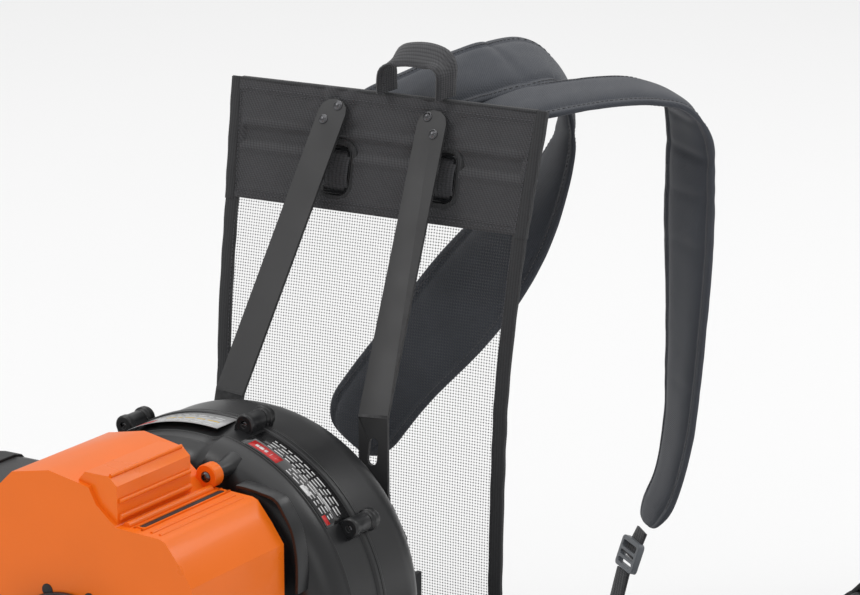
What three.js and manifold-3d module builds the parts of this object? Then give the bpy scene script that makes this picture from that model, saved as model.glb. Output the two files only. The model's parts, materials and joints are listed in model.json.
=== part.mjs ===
// Backpack leaf blower: a two-stroke engine turns an impeller in a round fan housing, the air leaves
// through an elbow, a bellows hose and a blower tube, and a mesh back panel with two padded
// shoulder straps stands on two flat steel stays behind the fan.
// Millimetres. +X is the wearer's right, +Y the wearer's side, +Z up. The origin lies on the floor
// under the middle of the base.

import * as THREE from 'three';
import { mergeVertices } from 'three/addons/utils/BufferGeometryUtils.js';
import Module from 'manifold-3d';

const wasm = await Module();
wasm.setup();

// ---- driving dimensions ----------------------------------------------------------------------

const GAP = 0.3;                 // air left between pieces that touch

const CRANK_X = -8;              // the crank and impeller axis runs along Y through this point
const CRANK_Z = 192;

const BASE_HALF_WIDTH = 140;
const BASE_FRONT = -150;
const BASE_REAR = 205;
const BASE_HEIGHT = 12;

const FAN_RADIUS = 154;          // fan housing outside, at the right and the top
const FAN_GROWTH = 8;            // how much wider the scroll is at the bottom
const FAN_FRONT = -62;
const FAN_PARTING = 9;
const FAN_BACK = 86;
const FAN_WALL = 3;
const FAN_SHOULDER = 26;         // rounding of the front shoulder
const FAN_HAUNCH = 38;           // rounding of the rear shoulder
const LUG_FIRST_ANGLE = 32.5;    // screw lugs round the fan housing, one every 45 degrees
const LUG_PITCH = 45;
const LUG_RADIUS = 7;

const DUCT_RADIUS = 40;
const DUCT_Y = 20;
const DUCT_Z = 70;
const DUCT_END_X = 150;
const SPIGOT = 26;               // length of the elbow inside the hose
const ELBOW_BEND = 62;

const LANCE_YAW = 20;            // the blower tube points this far out from straight ahead
const LANCE_DROP = 2.6;          // and slopes down this much, so that its tip meets the floor
const LANCE_ROLL = 45;           // the control handle leans outward by this roll
const HOSE_HALF = 125;           // length of each half of the bellows hose
const TUBE_RADIUS = 35.9;
const TUBE_END = 640;
const NOZZLE_START = 500;
const NOZZLE_END = 810;
const HANDLE_S = 310;            // where the handle stands along the tube

const ENGINE_Y = -108;           // cylinder axis
const BORE_RADIUS = 22;
const CRANK_THROW = 17;
const SHAFT_RADIUS = 8;
const COVER_REAR = -78;
const COVER_FRONT = -200;
const STARTER_FRONT = -236;

const STAY_WIDTH = 25;
const STAY_THICKNESS = 3;
const STAY_SPLAY = 0.0987;       // sideways run of a stay for each unit that it goes down
const PANEL_HALF_WIDTH = 147.5;
const PANEL_BOTTOM = 110;
const BAND_BOTTOM = 472;
const PANEL_TOP = 576;
const STRAP_WIDTH = 76;
const STRAP_THICKNESS = 14;

// ---- looks -----------------------------------------------------------------------------------

const look = (color, roughness, metalness) => ({ color, roughness, metalness });
const BLACK_PLASTIC = look(0x1b1c1e, 0.5, 0);
const ORANGE_PLASTIC = look(0xf0641a, 0.28, 0);
const GREY_PLASTIC = look(0x6d7176, 0.45, 0);
const TANK_PLASTIC = look(0xcfd0c8, 0.45, 0);
const RUBBER = look(0x141414, 0.8, 0);
const BLACK_STEEL = look(0x18191b, 0.4, 0.3);
const STEEL = look(0xa9adb2, 0.32, 1);
const ALUMINIUM = look(0xb7babd, 0.5, 1);
const FABRIC = look(0x2a2c30, 0.9, 0);
const MESH_FABRIC = look(0x3a3c40, 0.8, 0);
const FOAM = look(0x5b5f55, 0.95, 0);
const CERAMIC = look(0xf2f0ea, 0.3, 0);

// ---- solids ----------------------------------------------------------------------------------

const radians = (degrees) => degrees * Math.PI / 180;
const vector = (x, y, z) => new THREE.Vector3(x, y, z);

// A closed geometry as a solid: shared corners merged, slivers dropped, faces turned outward.
function toSolid(geometry) {
  const bare = geometry.index ? geometry.toNonIndexed() : geometry.clone();
  bare.deleteAttribute('normal');
  bare.deleteAttribute('uv');
  const merged = mergeVertices(bare, 1e-3);
  const corner = merged.index.array;
  const place = merged.attributes.position;
  const faces = [];
  for (let i = 0; i < corner.length; i += 3) {
    const [a, b, c] = corner.slice(i, i + 3);
    if (a !== b && b !== c && c !== a) faces.push([a, b, c]);
  }
  const point = (i) => vector(place.getX(i), place.getY(i), place.getZ(i));
  const volume = faces.reduce((sum, [a, b, c]) => sum + point(a).dot(point(b).cross(point(c))), 0);
  const outward = volume > 0 ? faces : faces.map(([a, b, c]) => [a, c, b]);
  return new wasm.Manifold(new wasm.Mesh({
    numProp: 3,
    vertProperties: new Float32Array(place.array),
    triVerts: new Uint32Array(outward.flat()),
  }));
}

function toGeometry(solid) {
  const mesh = solid.getMesh();
  const geometry = new THREE.BufferGeometry();
  geometry.setAttribute('position', new THREE.BufferAttribute(mesh.vertProperties, 3));
  geometry.setIndex(new THREE.BufferAttribute(mesh.triVerts, 1));
  geometry.computeVertexNormals();
  return geometry;
}

const join = (...solids) => solids.flat().reduce((whole, solid) => whole.add(solid));
const cut = (solid, ...tools) => tools.flat().reduce((rest, tool) => rest.subtract(tool), solid);

// Turns a shape made along Y so that it runs along another axis.
function layAlong(geometry, axis) {
  if (axis === 'x') geometry.rotateZ(-Math.PI / 2);
  if (axis === 'z') geometry.rotateX(Math.PI / 2);
  return geometry;
}

// The two coordinates across an axis, as a point.
function acrossAxis(axis, u, v) {
  return { x: vector(0, u, v), y: vector(u, 0, v), z: vector(u, v, 0) }[axis];
}

function block(x0, x1, y0, y1, z0, z1) {
  const box = new THREE.BoxGeometry(x1 - x0, y1 - y0, z1 - z0);
  box.translate((x0 + x1) / 2, (y0 + y1) / 2, (z0 + z1) / 2);
  return toSolid(box);
}

function rod(axis, radius, from, to, u, v, segments = 16) {
  const along = { x: vector(1, 0, 0), y: vector(0, 1, 0), z: vector(0, 0, 1) }[axis];
  const cylinder = layAlong(new THREE.CylinderGeometry(radius, radius, to - from, segments), axis);
  const middle = acrossAxis(axis, u, v).addScaledVector(along, (from + to) / 2);
  cylinder.translate(middle.x, middle.y, middle.z);
  return toSolid(cylinder);
}

const washer = (axis, outer, inner, from, to, u, v, segments = 16) => cut(
  rod(axis, outer, from, to, u, v, segments),
  rod(axis, inner, from - 1, to + 1, u, v, segments),
);

// A turned shape: the profile is a list of [radius, height] that starts and ends on the axis or
// closes on itself.
function turned(axis, profile, u, v, segments = 20) {
  const points = profile.map(([radius, height]) => new THREE.Vector2(radius, height));
  const shape = layAlong(new THREE.LatheGeometry(points, segments), axis);
  const middle = acrossAxis(axis, u, v);
  shape.translate(middle.x, middle.y, middle.z);
  return toSolid(shape);
}

const PLANES = {
  xy: new THREE.Matrix4(),
  xz: new THREE.Matrix4().makeRotationX(Math.PI / 2),
  yz: new THREE.Matrix4().makeBasis(vector(0, 1, 0), vector(0, 0, 1), vector(1, 0, 0)),
};

// An outline in one plane, given thickness from one place to another across that plane. A bevel of
// [rise, inset] rounds both ends inside the given length.
function slab(outline, plane, from, to, bevel = [0, 0]) {
  const shape = new THREE.Shape(outline.map(([u, v]) => new THREE.Vector2(u, v)));
  const [rise, inset] = bevel;
  const geometry = new THREE.ExtrudeGeometry(shape, {
    depth: to - from - 2 * rise,
    bevelEnabled: rise > 0,
    bevelThickness: rise,
    bevelSize: inset,
    bevelOffset: -inset,
    bevelSegments: 2,
    curveSegments: 8,
  });
  geometry.translate(0, 0, plane === 'xz' ? -to + rise : from + rise);
  geometry.applyMatrix4(PLANES[plane]);
  return toSolid(geometry);
}

const circleOutline = (radius, count, start = 0) => Array.from({ length: count }, (_, i) => {
  const angle = radians(start + 360 * i / count);
  return [radius * Math.cos(angle), radius * Math.sin(angle)];
});

// A round or ring section swept along a curve.
function pipe(path, outer, inner, steps, segments = 16) {
  const shape = new THREE.Shape(circleOutline(outer, segments).map(([u, v]) => new THREE.Vector2(u, v)));
  if (inner > 0) {
    const hole = circleOutline(inner, segments).map(([u, v]) => new THREE.Vector2(u, v));
    shape.holes.push(new THREE.Path(hole));
  }
  return toSolid(new THREE.ExtrudeGeometry(shape, { steps, extrudePath: path, bevelEnabled: false }));
}

const curveThrough = (points) => new THREE.CatmullRomCurve3(points.map((p) => vector(...p)));

function roundedRectangle(u0, u1, v0, v1, radius, steps = 3) {
  const corners = [[u1 - radius, v1 - radius, 0], [u0 + radius, v1 - radius, 90],
    [u0 + radius, v0 + radius, 180], [u1 - radius, v0 + radius, 270]];
  return corners.flatMap(([u, v, start]) => Array.from({ length: steps + 1 }, (_, i) => {
    const angle = radians(start + 90 * i / steps);
    return [u + radius * Math.cos(angle), v + radius * Math.sin(angle)];
  }));
}

// An anticlockwise outline moved inward by a wall thickness.
function inset(outline, wall) {
  return outline.map((here, i) => {
    const before = outline[(i + outline.length - 1) % outline.length];
    const after = outline[(i + 1) % outline.length];
    const into = new THREE.Vector2(here[0] - before[0], here[1] - before[1]).normalize();
    const out = new THREE.Vector2(after[0] - here[0], after[1] - here[1]).normalize();
    const side = new THREE.Vector2(-into.y - out.y, into.x + out.x).normalize();
    const reach = wall / (side.x * -into.y + side.y * into.x);
    return [here[0] + side.x * reach, here[1] + side.y * reach];
  });
}

// A flat strap along a curve. Each stop is [x, y, z, width direction x, y, z].
function ribbon(stops, width, thickness, steps) {
  const path = curveThrough(stops.map((stop) => stop.slice(0, 3)));
  const sides = curveThrough(stops.map((stop) => stop.slice(3)));
  const strap = new THREE.BoxGeometry(1, 1, 1, 2, 1, steps);
  const place = strap.attributes.position;
  for (let i = 0; i < place.count; i += 1) {
    const along = place.getZ(i) + 0.5;
    const forward = path.getTangent(along);
    const side = sides.getPoint(along);
    side.addScaledVector(forward, -side.dot(forward)).normalize();
    const up = forward.clone().cross(side);
    const point = path.getPoint(along);
    point.addScaledVector(side, place.getX(i) * width);
    point.addScaledVector(up, place.getY(i) * thickness);
    place.setXYZ(i, point.x, point.y, point.z);
  }
  return toSolid(strap);
}

function moved(solid, matrix) {
  const geometry = toGeometry(solid);
  geometry.applyMatrix4(matrix);
  return toSolid(geometry);
}

// ---- assembly --------------------------------------------------------------------------------

const machine = new THREE.Group();

// Everything from the elbow's end on stands in the lance's own frame: +Y along the tube, +Z the
// side that the handle stands on.
const lance = new THREE.Group();
const elbowTurn = radians(90 - LANCE_YAW);
const elbowStart = vector(DUCT_END_X + 15, DUCT_Y, DUCT_Z);
lance.position.set(
  elbowStart.x + ELBOW_BEND * Math.sin(elbowTurn),
  elbowStart.y + ELBOW_BEND * (1 - Math.cos(elbowTurn)),
  DUCT_Z,
);
lance.rotation.set(-radians(LANCE_DROP), radians(LANCE_ROLL), -radians(LANCE_YAW), 'ZXY');
lance.updateMatrix();
machine.add(lance);

function add(name, solid, finish, parent = machine) {
  const mesh = new THREE.Mesh(toGeometry(solid), new THREE.MeshStandardMaterial(finish));
  mesh.name = name;
  parent.add(mesh);
}

// ---- base and back frame ---------------------------------------------------------------------

function baseFrame() {
  const outline = roundedRectangle(-BASE_HALF_WIDTH, BASE_HALF_WIDTH, BASE_FRONT, BASE_REAR, 34, 5);
  const pockets = [];
  const pocketColumns = [[-128, -118], [-70, -6], [6, 70], [118, 128]];
  const pocketRows = [[-110, -50], [-38, -2], [52, 84]];
  for (const [x0, x1] of pocketColumns) {
    for (const [y0, y1] of pocketRows) {
      pockets.push(block(x0, x1, y0, y1, 4, BASE_HEIGHT + 1));
    }
  }
  return cut(slab(outline, 'xy', 0, BASE_HEIGHT), pockets);
}

const PLATE_FRONT = 93.5;
const PLATE_BACK = 97.5;
const PLATE_TOP = 262;

function backFrame() {
  const foot = BASE_HEIGHT + GAP;
  const outline = [[-112, foot], [112, foot], [112, 236], [98, PLATE_TOP], [-98, PLATE_TOP], [-112, 236]];
  const flanges = [-1, 1].map((side) => (
    side < 0 ? block(-112, -108, PLATE_FRONT, 120, foot, 200) : block(108, 112, PLATE_FRONT, 120, foot, 200)
  ));
  const bosses = [[-100, 128], [84, 128], [-100, 250], [84, 250]].map(([x, z]) => (
    rod('y', 8, FAN_BACK + GAP, PLATE_FRONT + 1, x, z, 16)
  ));
  const whole = join(
    slab(outline, 'xz', PLATE_FRONT, PLATE_BACK),
    block(-112, 112, PLATE_FRONT, 150, foot, foot + 4),
    flanges,
    bosses,
  );
  return cut(whole, rod('y', 72, PLATE_FRONT - 3, PLATE_BACK + 3, CRANK_X, CRANK_Z, 16));
}

function lowerHoop() {
  const foot = BASE_HEIGHT + GAP;
  const path = curveThrough([
    [-128, 190, foot], [-128, 190, 40], [-128, 190, 70], [-116, 190, 94], [-90, 190, 100], [0, 190, 100],
    [90, 190, 100], [116, 190, 94], [128, 190, 70], [128, 190, 40], [128, 190, foot],
  ]);
  return pipe(path, 8, 0, 20, 8);
}

// ---- stays, panel and straps -----------------------------------------------------------------

// Height and depth of a stay's middle line, from its top to its foot.
const STAY_LINE = [[556, 230], [332, 107.5], [272, 99.6], [222, 99.4]];

// One end of a flat strip, as points across it: a half circle, or square with a little overlap.
function roundedEnd(at, half, start, isRound) {
  const outward = start === 180 || at === 0 ? -1 : 1;
  if (!isRound) return [[half * outward, at + outward * 1.5], [-half * outward, at + outward * 1.5]];
  return Array.from({ length: 7 }, (_, i) => {
    const angle = radians(start + 30 * i);
    return [half * Math.cos(angle), at + half * Math.sin(angle)];
  });
}

function stay(side) {
  const middle = STAY_LINE.map(([z, y]) => vector(side * (50.5 + (556 - z) * STAY_SPLAY), y, z));
  const half = STAY_WIDTH / 2;
  const pieces = middle.slice(1).map((low, i) => {
    const top = middle[i];
    const length = top.distanceTo(low);
    const down = low.clone().sub(top).normalize();
    const across = vector(1, 0, 0).addScaledVector(down, -down.x).normalize();
    const outline = [
      roundedEnd(0, half, i === 0 ? 180 : 0, i === 0),
      roundedEnd(length, half, 0, i === middle.length - 2),
    ].flat();
    const placed = new THREE.Matrix4().makeBasis(across, down, across.clone().cross(down));
    placed.setPosition(top);
    return moved(slab(outline, 'xy', -STAY_THICKNESS / 2, STAY_THICKNESS / 2), placed);
  });
  const slotX = side * (50.5 + (556 - 303) * STAY_SPLAY);
  const slot = slab(roundedRectangle(slotX - 4, slotX + 4, 291.5, 314.5, 3.9, 2), 'xz', 60, 140);
  return cut(join(pieces), slot);
}

// The panel leans back in a shallow curve: its depth at each height.
const PANEL_LINE = curveThrough([
  [0, 190, 100], [0, 190, 176], [0, 193.5, 270], [0, 200, 356], [0, 210, 420], [0, 221, 476], [0, 243, 576],
]);

function panelDepth(height) {
  const points = PANEL_LINE.getPoints(60);
  const above = points.findIndex((point) => point.z > height - 0.01);
  const low = points[above - 1];
  const high = points[above];
  return low.y + (high.y - low.y) * (height - low.z) / (high.z - low.z);
}

const panelHalfWidth = (height) => (
  PANEL_HALF_WIDTH + 4.5 * THREE.MathUtils.clamp((height - 330) / 146, 0, 1)
  + 6.5 * THREE.MathUtils.clamp((height - 476) / 100, 0, 1)
);

// A stretch of the panel with its flare to the top, between two heights.
function panelStretch(bottom, top, thickness, rows) {
  const sheet = new THREE.BoxGeometry(1, 1, 1, 1, 1, rows);
  const place = sheet.attributes.position;
  for (let i = 0; i < place.count; i += 1) {
    const height = bottom + (place.getZ(i) + 0.5) * (top - bottom);
    const depth = panelDepth(height) + place.getY(i) * thickness;
    place.setXYZ(i, place.getX(i) * 2 * panelHalfWidth(height), depth, height);
  }
  return toSolid(sheet);
}

const BUCKLE_SPOTS = { left: [-41, 506], right: [65, 511] };

function topBand() {
  const windows = Object.values(BUCKLE_SPOTS).map(([x, z]) => (
    slab(roundedRectangle(x - 17, x + 17, z - 24, z + 24, 12, 3), 'xz', 200, 260)
  ));
  return cut(panelStretch(BAND_BOTTOM + GAP, PANEL_TOP, 5, 6), windows);
}

function triglide(side) {
  const [x, z] = BUCKLE_SPOTS[side];
  const frame = slab(roundedRectangle(-14, 14, -20, 20, 5, 3), 'xy', -2, 2);
  const slots = [[-17, -12], [-7, -1.5], [1.5, 7], [12, 17]].map(([v0, v1]) => (
    slab(roundedRectangle(-10.5, 10.5, v0, v1, 1, 1), 'xy', -4, 4)
  ));
  const lean = new THREE.Matrix4().makeRotationX(radians(90 - 12));
  lean.setPosition(x, panelDepth(z), z);
  return moved(cut(frame, slots), lean);
}

// Stops of the straps: a point on the middle line and the direction across the strap.
const SHOULDER_LEFT = [
  [-32, 254, 524, 1, 0, 0.2], [-10, 263, 556, 0.97, -0.2, 0], [22, 286, 580, 0.92, -0.38, 0],
  [46, 306, 592, 0.89, -0.45, 0], [68, 328, 599, 0.87, -0.49, 0], [83, 366, 595, 0.62, -0.78, 0],
  [98, 382, 562, 0.5, -0.86, 0], [100, 376, 525, 0.6, -0.8, 0], [92, 354, 482, 0.75, -0.65, -0.1],
  [70, 318, 430, 0.85, -0.3, -0.4], [42, 278, 375, 0.86, 0, -0.5], [4, 245, 318, 0.86, 0, -0.5],
  [-32, 229, 262, 0.86, 0, -0.5],
];
const SHOULDER_RIGHT = [
  [66, 252, 522, 1, -0.1, 0], [76, 268, 550, 0.97, -0.2, 0], [98, 286, 567, 0.85, -0.5, 0],
  [137, 305, 577, 0.74, -0.67, 0], [168, 327, 582, 0.72, -0.7, 0], [192, 350, 580, 0.72, -0.7, 0],
  [213, 372, 568, 0.74, -0.67, 0], [220, 384, 540, 0.84, -0.54, 0], [219, 388, 500, 0.86, -0.51, 0],
  [219, 388, 450, 0.85, -0.52, 0], [219, 388, 390, 0.8, -0.6, 0], [217, 386, 320, 0.74, -0.67, 0],
  [215, 384, 274, 0.7, -0.71, 0], [209, 376, 225, 0.66, -0.75, 0], [196, 362, 187, 0.66, -0.75, 0],
];
const WEBBING_LEFT = [
  [-55, 222, 218, 0.9, 0, -0.4], [-68, 217, 196, 0.9, 0, -0.4], [-92, 212, 160, 0.95, 0, -0.3],
  [-104, 207, 128, 1, 0, 0], [-106, 201, 104, 1, 0, 0],
];
const WEBBING_RIGHT = [
  [181, 346, 140, 0.78, -0.62, 0], [174, 334, 92, 0.8, -0.6, 0], [164, 308, 48, 0.9, -0.4, 0],
  [148, 262, 30, 0.95, -0.2, 0], [124, 222, 48, 1, 0, 0], [108, 203, 86, 1, 0, 0],
  [106, 200.5, 102, 1, 0, 0],
];

function grabLoop() {
  return ribbon([
    [0, 243, PANEL_TOP + 2 * GAP, 0, 1, 0], [0.5, 243, 590, 0, 1, 0], [14, 246, 612, 0, 1, 0],
    [30, 246, 616, 0, 1, 0], [46, 246, 612, 0, 1, 0], [59.5, 243, 590, 0, 1, 0],
    [60, 243, PANEL_TOP + 2 * GAP, 0, 1, 0],
  ], 24, 3, 24);
}

// The buckle between a pad's lower end and its webbing.
function ladderLock(middle, across, along) {
  const frame = slab(roundedRectangle(-18, 18, -14, 14, 4, 3), 'xy', -3, 3);
  const slots = [[-10, -4], [-1, 3], [6, 10]].map(([v0, v1]) => (
    slab(roundedRectangle(-13.5, 13.5, v0, v1, 1, 1), 'xy', -5, 5)
  ));
  const placed = new THREE.Matrix4().makeBasis(across, along, across.clone().cross(along));
  placed.setPosition(middle);
  return moved(cut(frame, slots), placed);
}

// ---- fan -------------------------------------------------------------------------------------

// Radius of the scroll at an angle from +X, anticlockwise seen from the engine.
function scrollRadius(degrees) {
  const turn = ((degrees % 360) + 450) % 360;
  const growing = THREE.MathUtils.clamp((turn - 180) / 180, 0, 1);
  const closing = THREE.MathUtils.clamp(1 - turn / 40, 0, 1);
  return FAN_RADIUS + FAN_GROWTH * Math.max(growing, closing);
}

const scrollOutline = (inward) => Array.from({ length: 36 }, (_, i) => {
  const radius = scrollRadius(10 * i) - inward;
  return [CRANK_X + radius * Math.cos(radians(10 * i)), CRANK_Z + radius * Math.sin(radians(10 * i))];
});

function lugs(from, to) {
  const solids = [];
  for (let i = 0; i < 8; i += 1) {
    const angle = LUG_FIRST_ANGLE + LUG_PITCH * i;
    if (angle < 250 || angle > 320) {
      const reach = scrollRadius(angle) + 5.5;
      const x = CRANK_X + reach * Math.cos(radians(angle));
      const z = CRANK_Z + reach * Math.sin(radians(angle));
      solids.push(washer('y', LUG_RADIUS, 1.9, from, to, x, z, 8));
    }
  }
  return solids;
}

function fanFeet() {
  return [block(-112, -82, -5, 45, 28, 90), block(80, 110, -5, 45, 28, 60)];
}

// The whole fan housing and its hollow, before it is split at the parting plane.
function fanHousing() {
  const wide = FAN_BACK - FAN_FRONT;
  const front = slab(scrollOutline(0), 'xz', FAN_FRONT, FAN_FRONT + wide, [FAN_SHOULDER, FAN_SHOULDER])
    .intersect(block(-300, 300, FAN_FRONT - 1, FAN_PARTING, -100, 500));
  const rear = slab(scrollOutline(0), 'xz', FAN_FRONT, FAN_BACK, [FAN_HAUNCH, FAN_HAUNCH])
    .intersect(block(-300, 300, FAN_PARTING, FAN_BACK + 1, -100, 500));
  const frontHollow = slab(scrollOutline(FAN_WALL), 'xz', FAN_FRONT + FAN_WALL, FAN_BACK,
    [FAN_SHOULDER, FAN_SHOULDER]).intersect(block(-300, 300, FAN_FRONT, FAN_PARTING, -100, 500));
  const rearHollow = slab(scrollOutline(FAN_WALL), 'xz', FAN_FRONT, FAN_BACK - FAN_WALL,
    [FAN_HAUNCH, FAN_HAUNCH]).intersect(block(-300, 300, FAN_PARTING, FAN_BACK, -100, 500));
  const duct = join(
    rod('x', DUCT_RADIUS, 0, DUCT_END_X, DUCT_Y, DUCT_Z, 20),
    rod('x', DUCT_RADIUS + 6, DUCT_END_X - 5, DUCT_END_X, DUCT_Y, DUCT_Z, 20),
  );
  const ductHollow = rod('x', DUCT_RADIUS - FAN_WALL, 0, DUCT_END_X + 1, DUCT_Y, DUCT_Z, 20);
  const shell = join(front, rear, duct, fanFeet());
  return { shell, hollow: join(frontHollow, rearHollow, ductHollow) };
}

// The low wall that stands round the engine cover on the fan's front face.
function coverSurround() {
  const outside = [[-104, 262], [-104, 240], [119, 240], [119, 270], [116, 290], [99, 316], [73, 319],
    [58, 320], [58, 262]];
  return cut(
    slab(outside, 'xz', FAN_FRONT - 12, FAN_FRONT + 1),
    slab(inset(outside, 3), 'xz', FAN_FRONT - 13, FAN_FRONT),
    block(-110, 114, FAN_FRONT - 14, FAN_FRONT, 230, 266),
    block(50, 70, FAN_FRONT - 14, FAN_FRONT, 260, 316.5),
  );
}

const STANDOFFS = [[40, 326], [-70, 300]];

function voluteFront(housing) {
  const solid = join(
    cut(housing.shell, housing.hollow).intersect(block(-300, 300, FAN_FRONT - 1, FAN_PARTING - GAP / 2, 0, 500)),
    lugs(FAN_PARTING - 22, FAN_PARTING - GAP / 2),
    STANDOFFS.map(([x, z]) => rod('y', LUG_RADIUS, FAN_FRONT - 12, FAN_FRONT + 22, x, z, 12)),
    coverSurround(),
  );
  return cut(solid, housing.hollow, rod('y', 24, FAN_FRONT - 2, FAN_FRONT + 6, CRANK_X, CRANK_Z, 16));
}

function voluteRear(housing) {
  const solid = join(
    cut(housing.shell, housing.hollow).intersect(block(-300, 300, FAN_PARTING + GAP / 2, FAN_BACK, 0, 500)),
    lugs(FAN_PARTING + GAP / 2, FAN_PARTING + 11),
  );
  return cut(solid, housing.hollow, rod('y', 80, FAN_BACK - 10, FAN_BACK + 1, CRANK_X, CRANK_Z, 16));
}

function intakeGrille() {
  const front = FAN_BACK + GAP;
  const back = front + 3;
  const rings = [[88, 81], [50, 46]].map(([outer, inner]) => (
    washer('y', outer, inner, front, back, CRANK_X, CRANK_Z, 20)
  ));
  const spokes = Array.from({ length: 3 }, (_, i) => {
    const spoke = new THREE.BoxGeometry(170, 3, 4);
    spoke.rotateY(radians(60 * i));
    spoke.translate(CRANK_X, (front + back) / 2, CRANK_Z);
    return toSolid(spoke);
  });
  return join(rings, spokes);
}

function impeller() {
  const blades = Array.from({ length: 10 }, (_, i) => {
    const blade = new THREE.BoxGeometry(62, 70, 3);
    blade.rotateY(radians(35));
    blade.translate(92, 2, 0);
    blade.rotateY(radians(36 * i));
    blade.translate(CRANK_X, 8, CRANK_Z);
    return toSolid(blade);
  });
  const body = turned('y', [[0, -32], [20, -32], [20, -46], [126, -28], [126, -25], [40, -22], [22, 6], [0, 10]],
    CRANK_X, CRANK_Z, 24);
  const shaftHole = rod('y', SHAFT_RADIUS + GAP, -60, -12, CRANK_X, CRANK_Z);
  return cut(join(body, blades), shaftHole);
}

// ---- air path --------------------------------------------------------------------------------

function elbow() {
  const bend = Array.from({ length: 8 }, (_, i) => {
    const angle = elbowTurn * (i + 1) / 8;
    return [elbowStart.x + ELBOW_BEND * Math.sin(angle),
      elbowStart.y + ELBOW_BEND * (1 - Math.cos(angle)), DUCT_Z];
  });
  const spigotEnd = vector(0, SPIGOT, 0).applyMatrix4(lance.matrix).toArray();
  const path = curveThrough([[DUCT_END_X + GAP, DUCT_Y, DUCT_Z], elbowStart.toArray(), ...bend, spigotEnd]);
  const flange = washer('x', DUCT_RADIUS + 6, DUCT_RADIUS - 3, DUCT_END_X + GAP, DUCT_END_X + 6, DUCT_Y, DUCT_Z);
  return join(pipe(path, DUCT_RADIUS, DUCT_RADIUS - 3.5, 11, 16), flange);
}

// Half of the bellows hose: a plain cuff at one end and folds along the rest.
function bellows(bore, cuffFirst) {
  const folds = 4;
  const cuff = 26;
  const pitch = (HOSE_HALF - cuff - GAP) / folds;
  const skin = bore + 3;
  const outside = [[skin, 0], [skin, cuff]];
  for (let i = 0; i < folds; i += 1) {
    outside.push([skin + 6, cuff + pitch * (i + 0.5)], [skin, cuff + pitch * (i + 1)]);
  }
  const profile = [...outside, [bore, HOSE_HALF - GAP], [bore, 0], [skin, 0]];
  const placed = profile.map(([radius, s]) => [radius, cuffFirst ? s + 0.6 : 2 * HOSE_HALF - 0.6 - s]);
  return turned('y', placed, 0, 0, 16);
}

const hoseClamp = (radius, from) => join(
  washer('y', radius + 2, radius, from, from + 14, 0, 0, 16),
  block(-10, 10, from + 2, from + 12, radius + 0.5, radius + 9),
);

const blowerTube = () => washer('y', TUBE_RADIUS, TUBE_RADIUS - 2.5, 2 * HOSE_HALF - 26, TUBE_END, 0, 0, 16);

function nozzle() {
  return turned('y', [
    [36.3, NOZZLE_START], [41, NOZZLE_START], [41, NOZZLE_START + 16], [39, NOZZLE_START + 20],
    [39, NOZZLE_START + 150], [32, NOZZLE_END - 10], [32, NOZZLE_END], [28.5, NOZZLE_END],
    [28.5, NOZZLE_END - 10], [36.3, NOZZLE_START + 145], [36.3, NOZZLE_START],
  ], 0, 0, 16);
}

// ---- control handle (in the lance's frame) ---------------------------------------------------

const TRIGGER_PIVOT = [HANDLE_S + 8, 140];
const CRUISE_PIVOT = [HANDLE_S - 8, 150];
const STOP_PIVOT = [HANDLE_S - 10, 166];

function handleGrip() {
  const side = [[-28, 38], [28, 38], [24, 60], [17, 80], [21, 148], [16, 162], [-18, 168], [-28, 158],
    [-26, 110], [-30, 70]].map(([s, z]) => [HANDLE_S + s, z]);
  const [pivotS, pivotZ] = TRIGGER_PIVOT;
  const [stopS, stopZ] = STOP_PIVOT;
  const body = join(
    slab(side, 'yz', -16, 16, [5, 5]),
    rod('y', 42, HANDLE_S - 35, HANDLE_S + 35, 0, 0),
  );
  const slot = block(-6.5, 6.5, HANDLE_S - 4, HANDLE_S + 40, 84, 151);
  const switchWell = block(-8, 8, stopS - 10.5, stopS + 10.5, stopZ - 8, stopZ + 20);
  const bore = rod('y', TUBE_RADIUS + GAP + 0.2, HANDLE_S - 40, HANDLE_S + 40, 0, 0);
  return join(cut(body, slot, switchWell, bore), rod('x', 2.2, -8, 8, pivotS, pivotZ, 12));
}

function throttleTrigger() {
  const [s, z] = TRIGGER_PIVOT;
  const side = [[-5, 4], [4, 7], [12, 2], [22, -26], [27, -44], [20, -49], [15, -40], [7, -16], [-4, -5]]
    .map(([u, v]) => [s + u, z + v]);
  return cut(slab(side, 'yz', -5.5, 5.5, [1.2, 1.2]), rod('x', 2.6, -8, 8, s, z, 12));
}

function cruiseLever() {
  const [s, z] = CRUISE_PIVOT;
  const arm = [[-4, -3], [4, -3], [6, 28], [0, 34], [-5, 28]].map(([u, v]) => [s + u, z + v]);
  return join(rod('x', 8, -21, -16 - GAP, s, z, 16), slab(arm, 'yz', -21, -17));
}

function stopSwitch() {
  const [s, z] = STOP_PIVOT;
  const rocker = [[-9, 5], [0, -5], [9, 5], [7, 9], [0, 6.5], [-7, 9]].map(([u, v]) => [s + u, z + v]);
  return slab(rocker, 'yz', -7, 7);
}

// ---- engine ----------------------------------------------------------------------------------

function crankcase() {
  const body = join(
    rod('y', 50, -148, FAN_FRONT - GAP, CRANK_X, CRANK_Z, 20),
    rod('y', 60, -68, FAN_FRONT - GAP, CRANK_X, CRANK_Z, 20),
    block(CRANK_X - 38, CRANK_X + 38, -146, -72, CRANK_Z, 248),
    block(CRANK_X - 34, CRANK_X + 34, -142, -74, 128, CRANK_Z),
  );
  return cut(
    body,
    rod('y', 40.5, -138, -78, CRANK_X, CRANK_Z, 20),
    rod('y', 16.3, -150, -60, CRANK_X, CRANK_Z),
    rod('z', 24, CRANK_Z, 250, CRANK_X, ENGINE_Y),
  );
}

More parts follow.
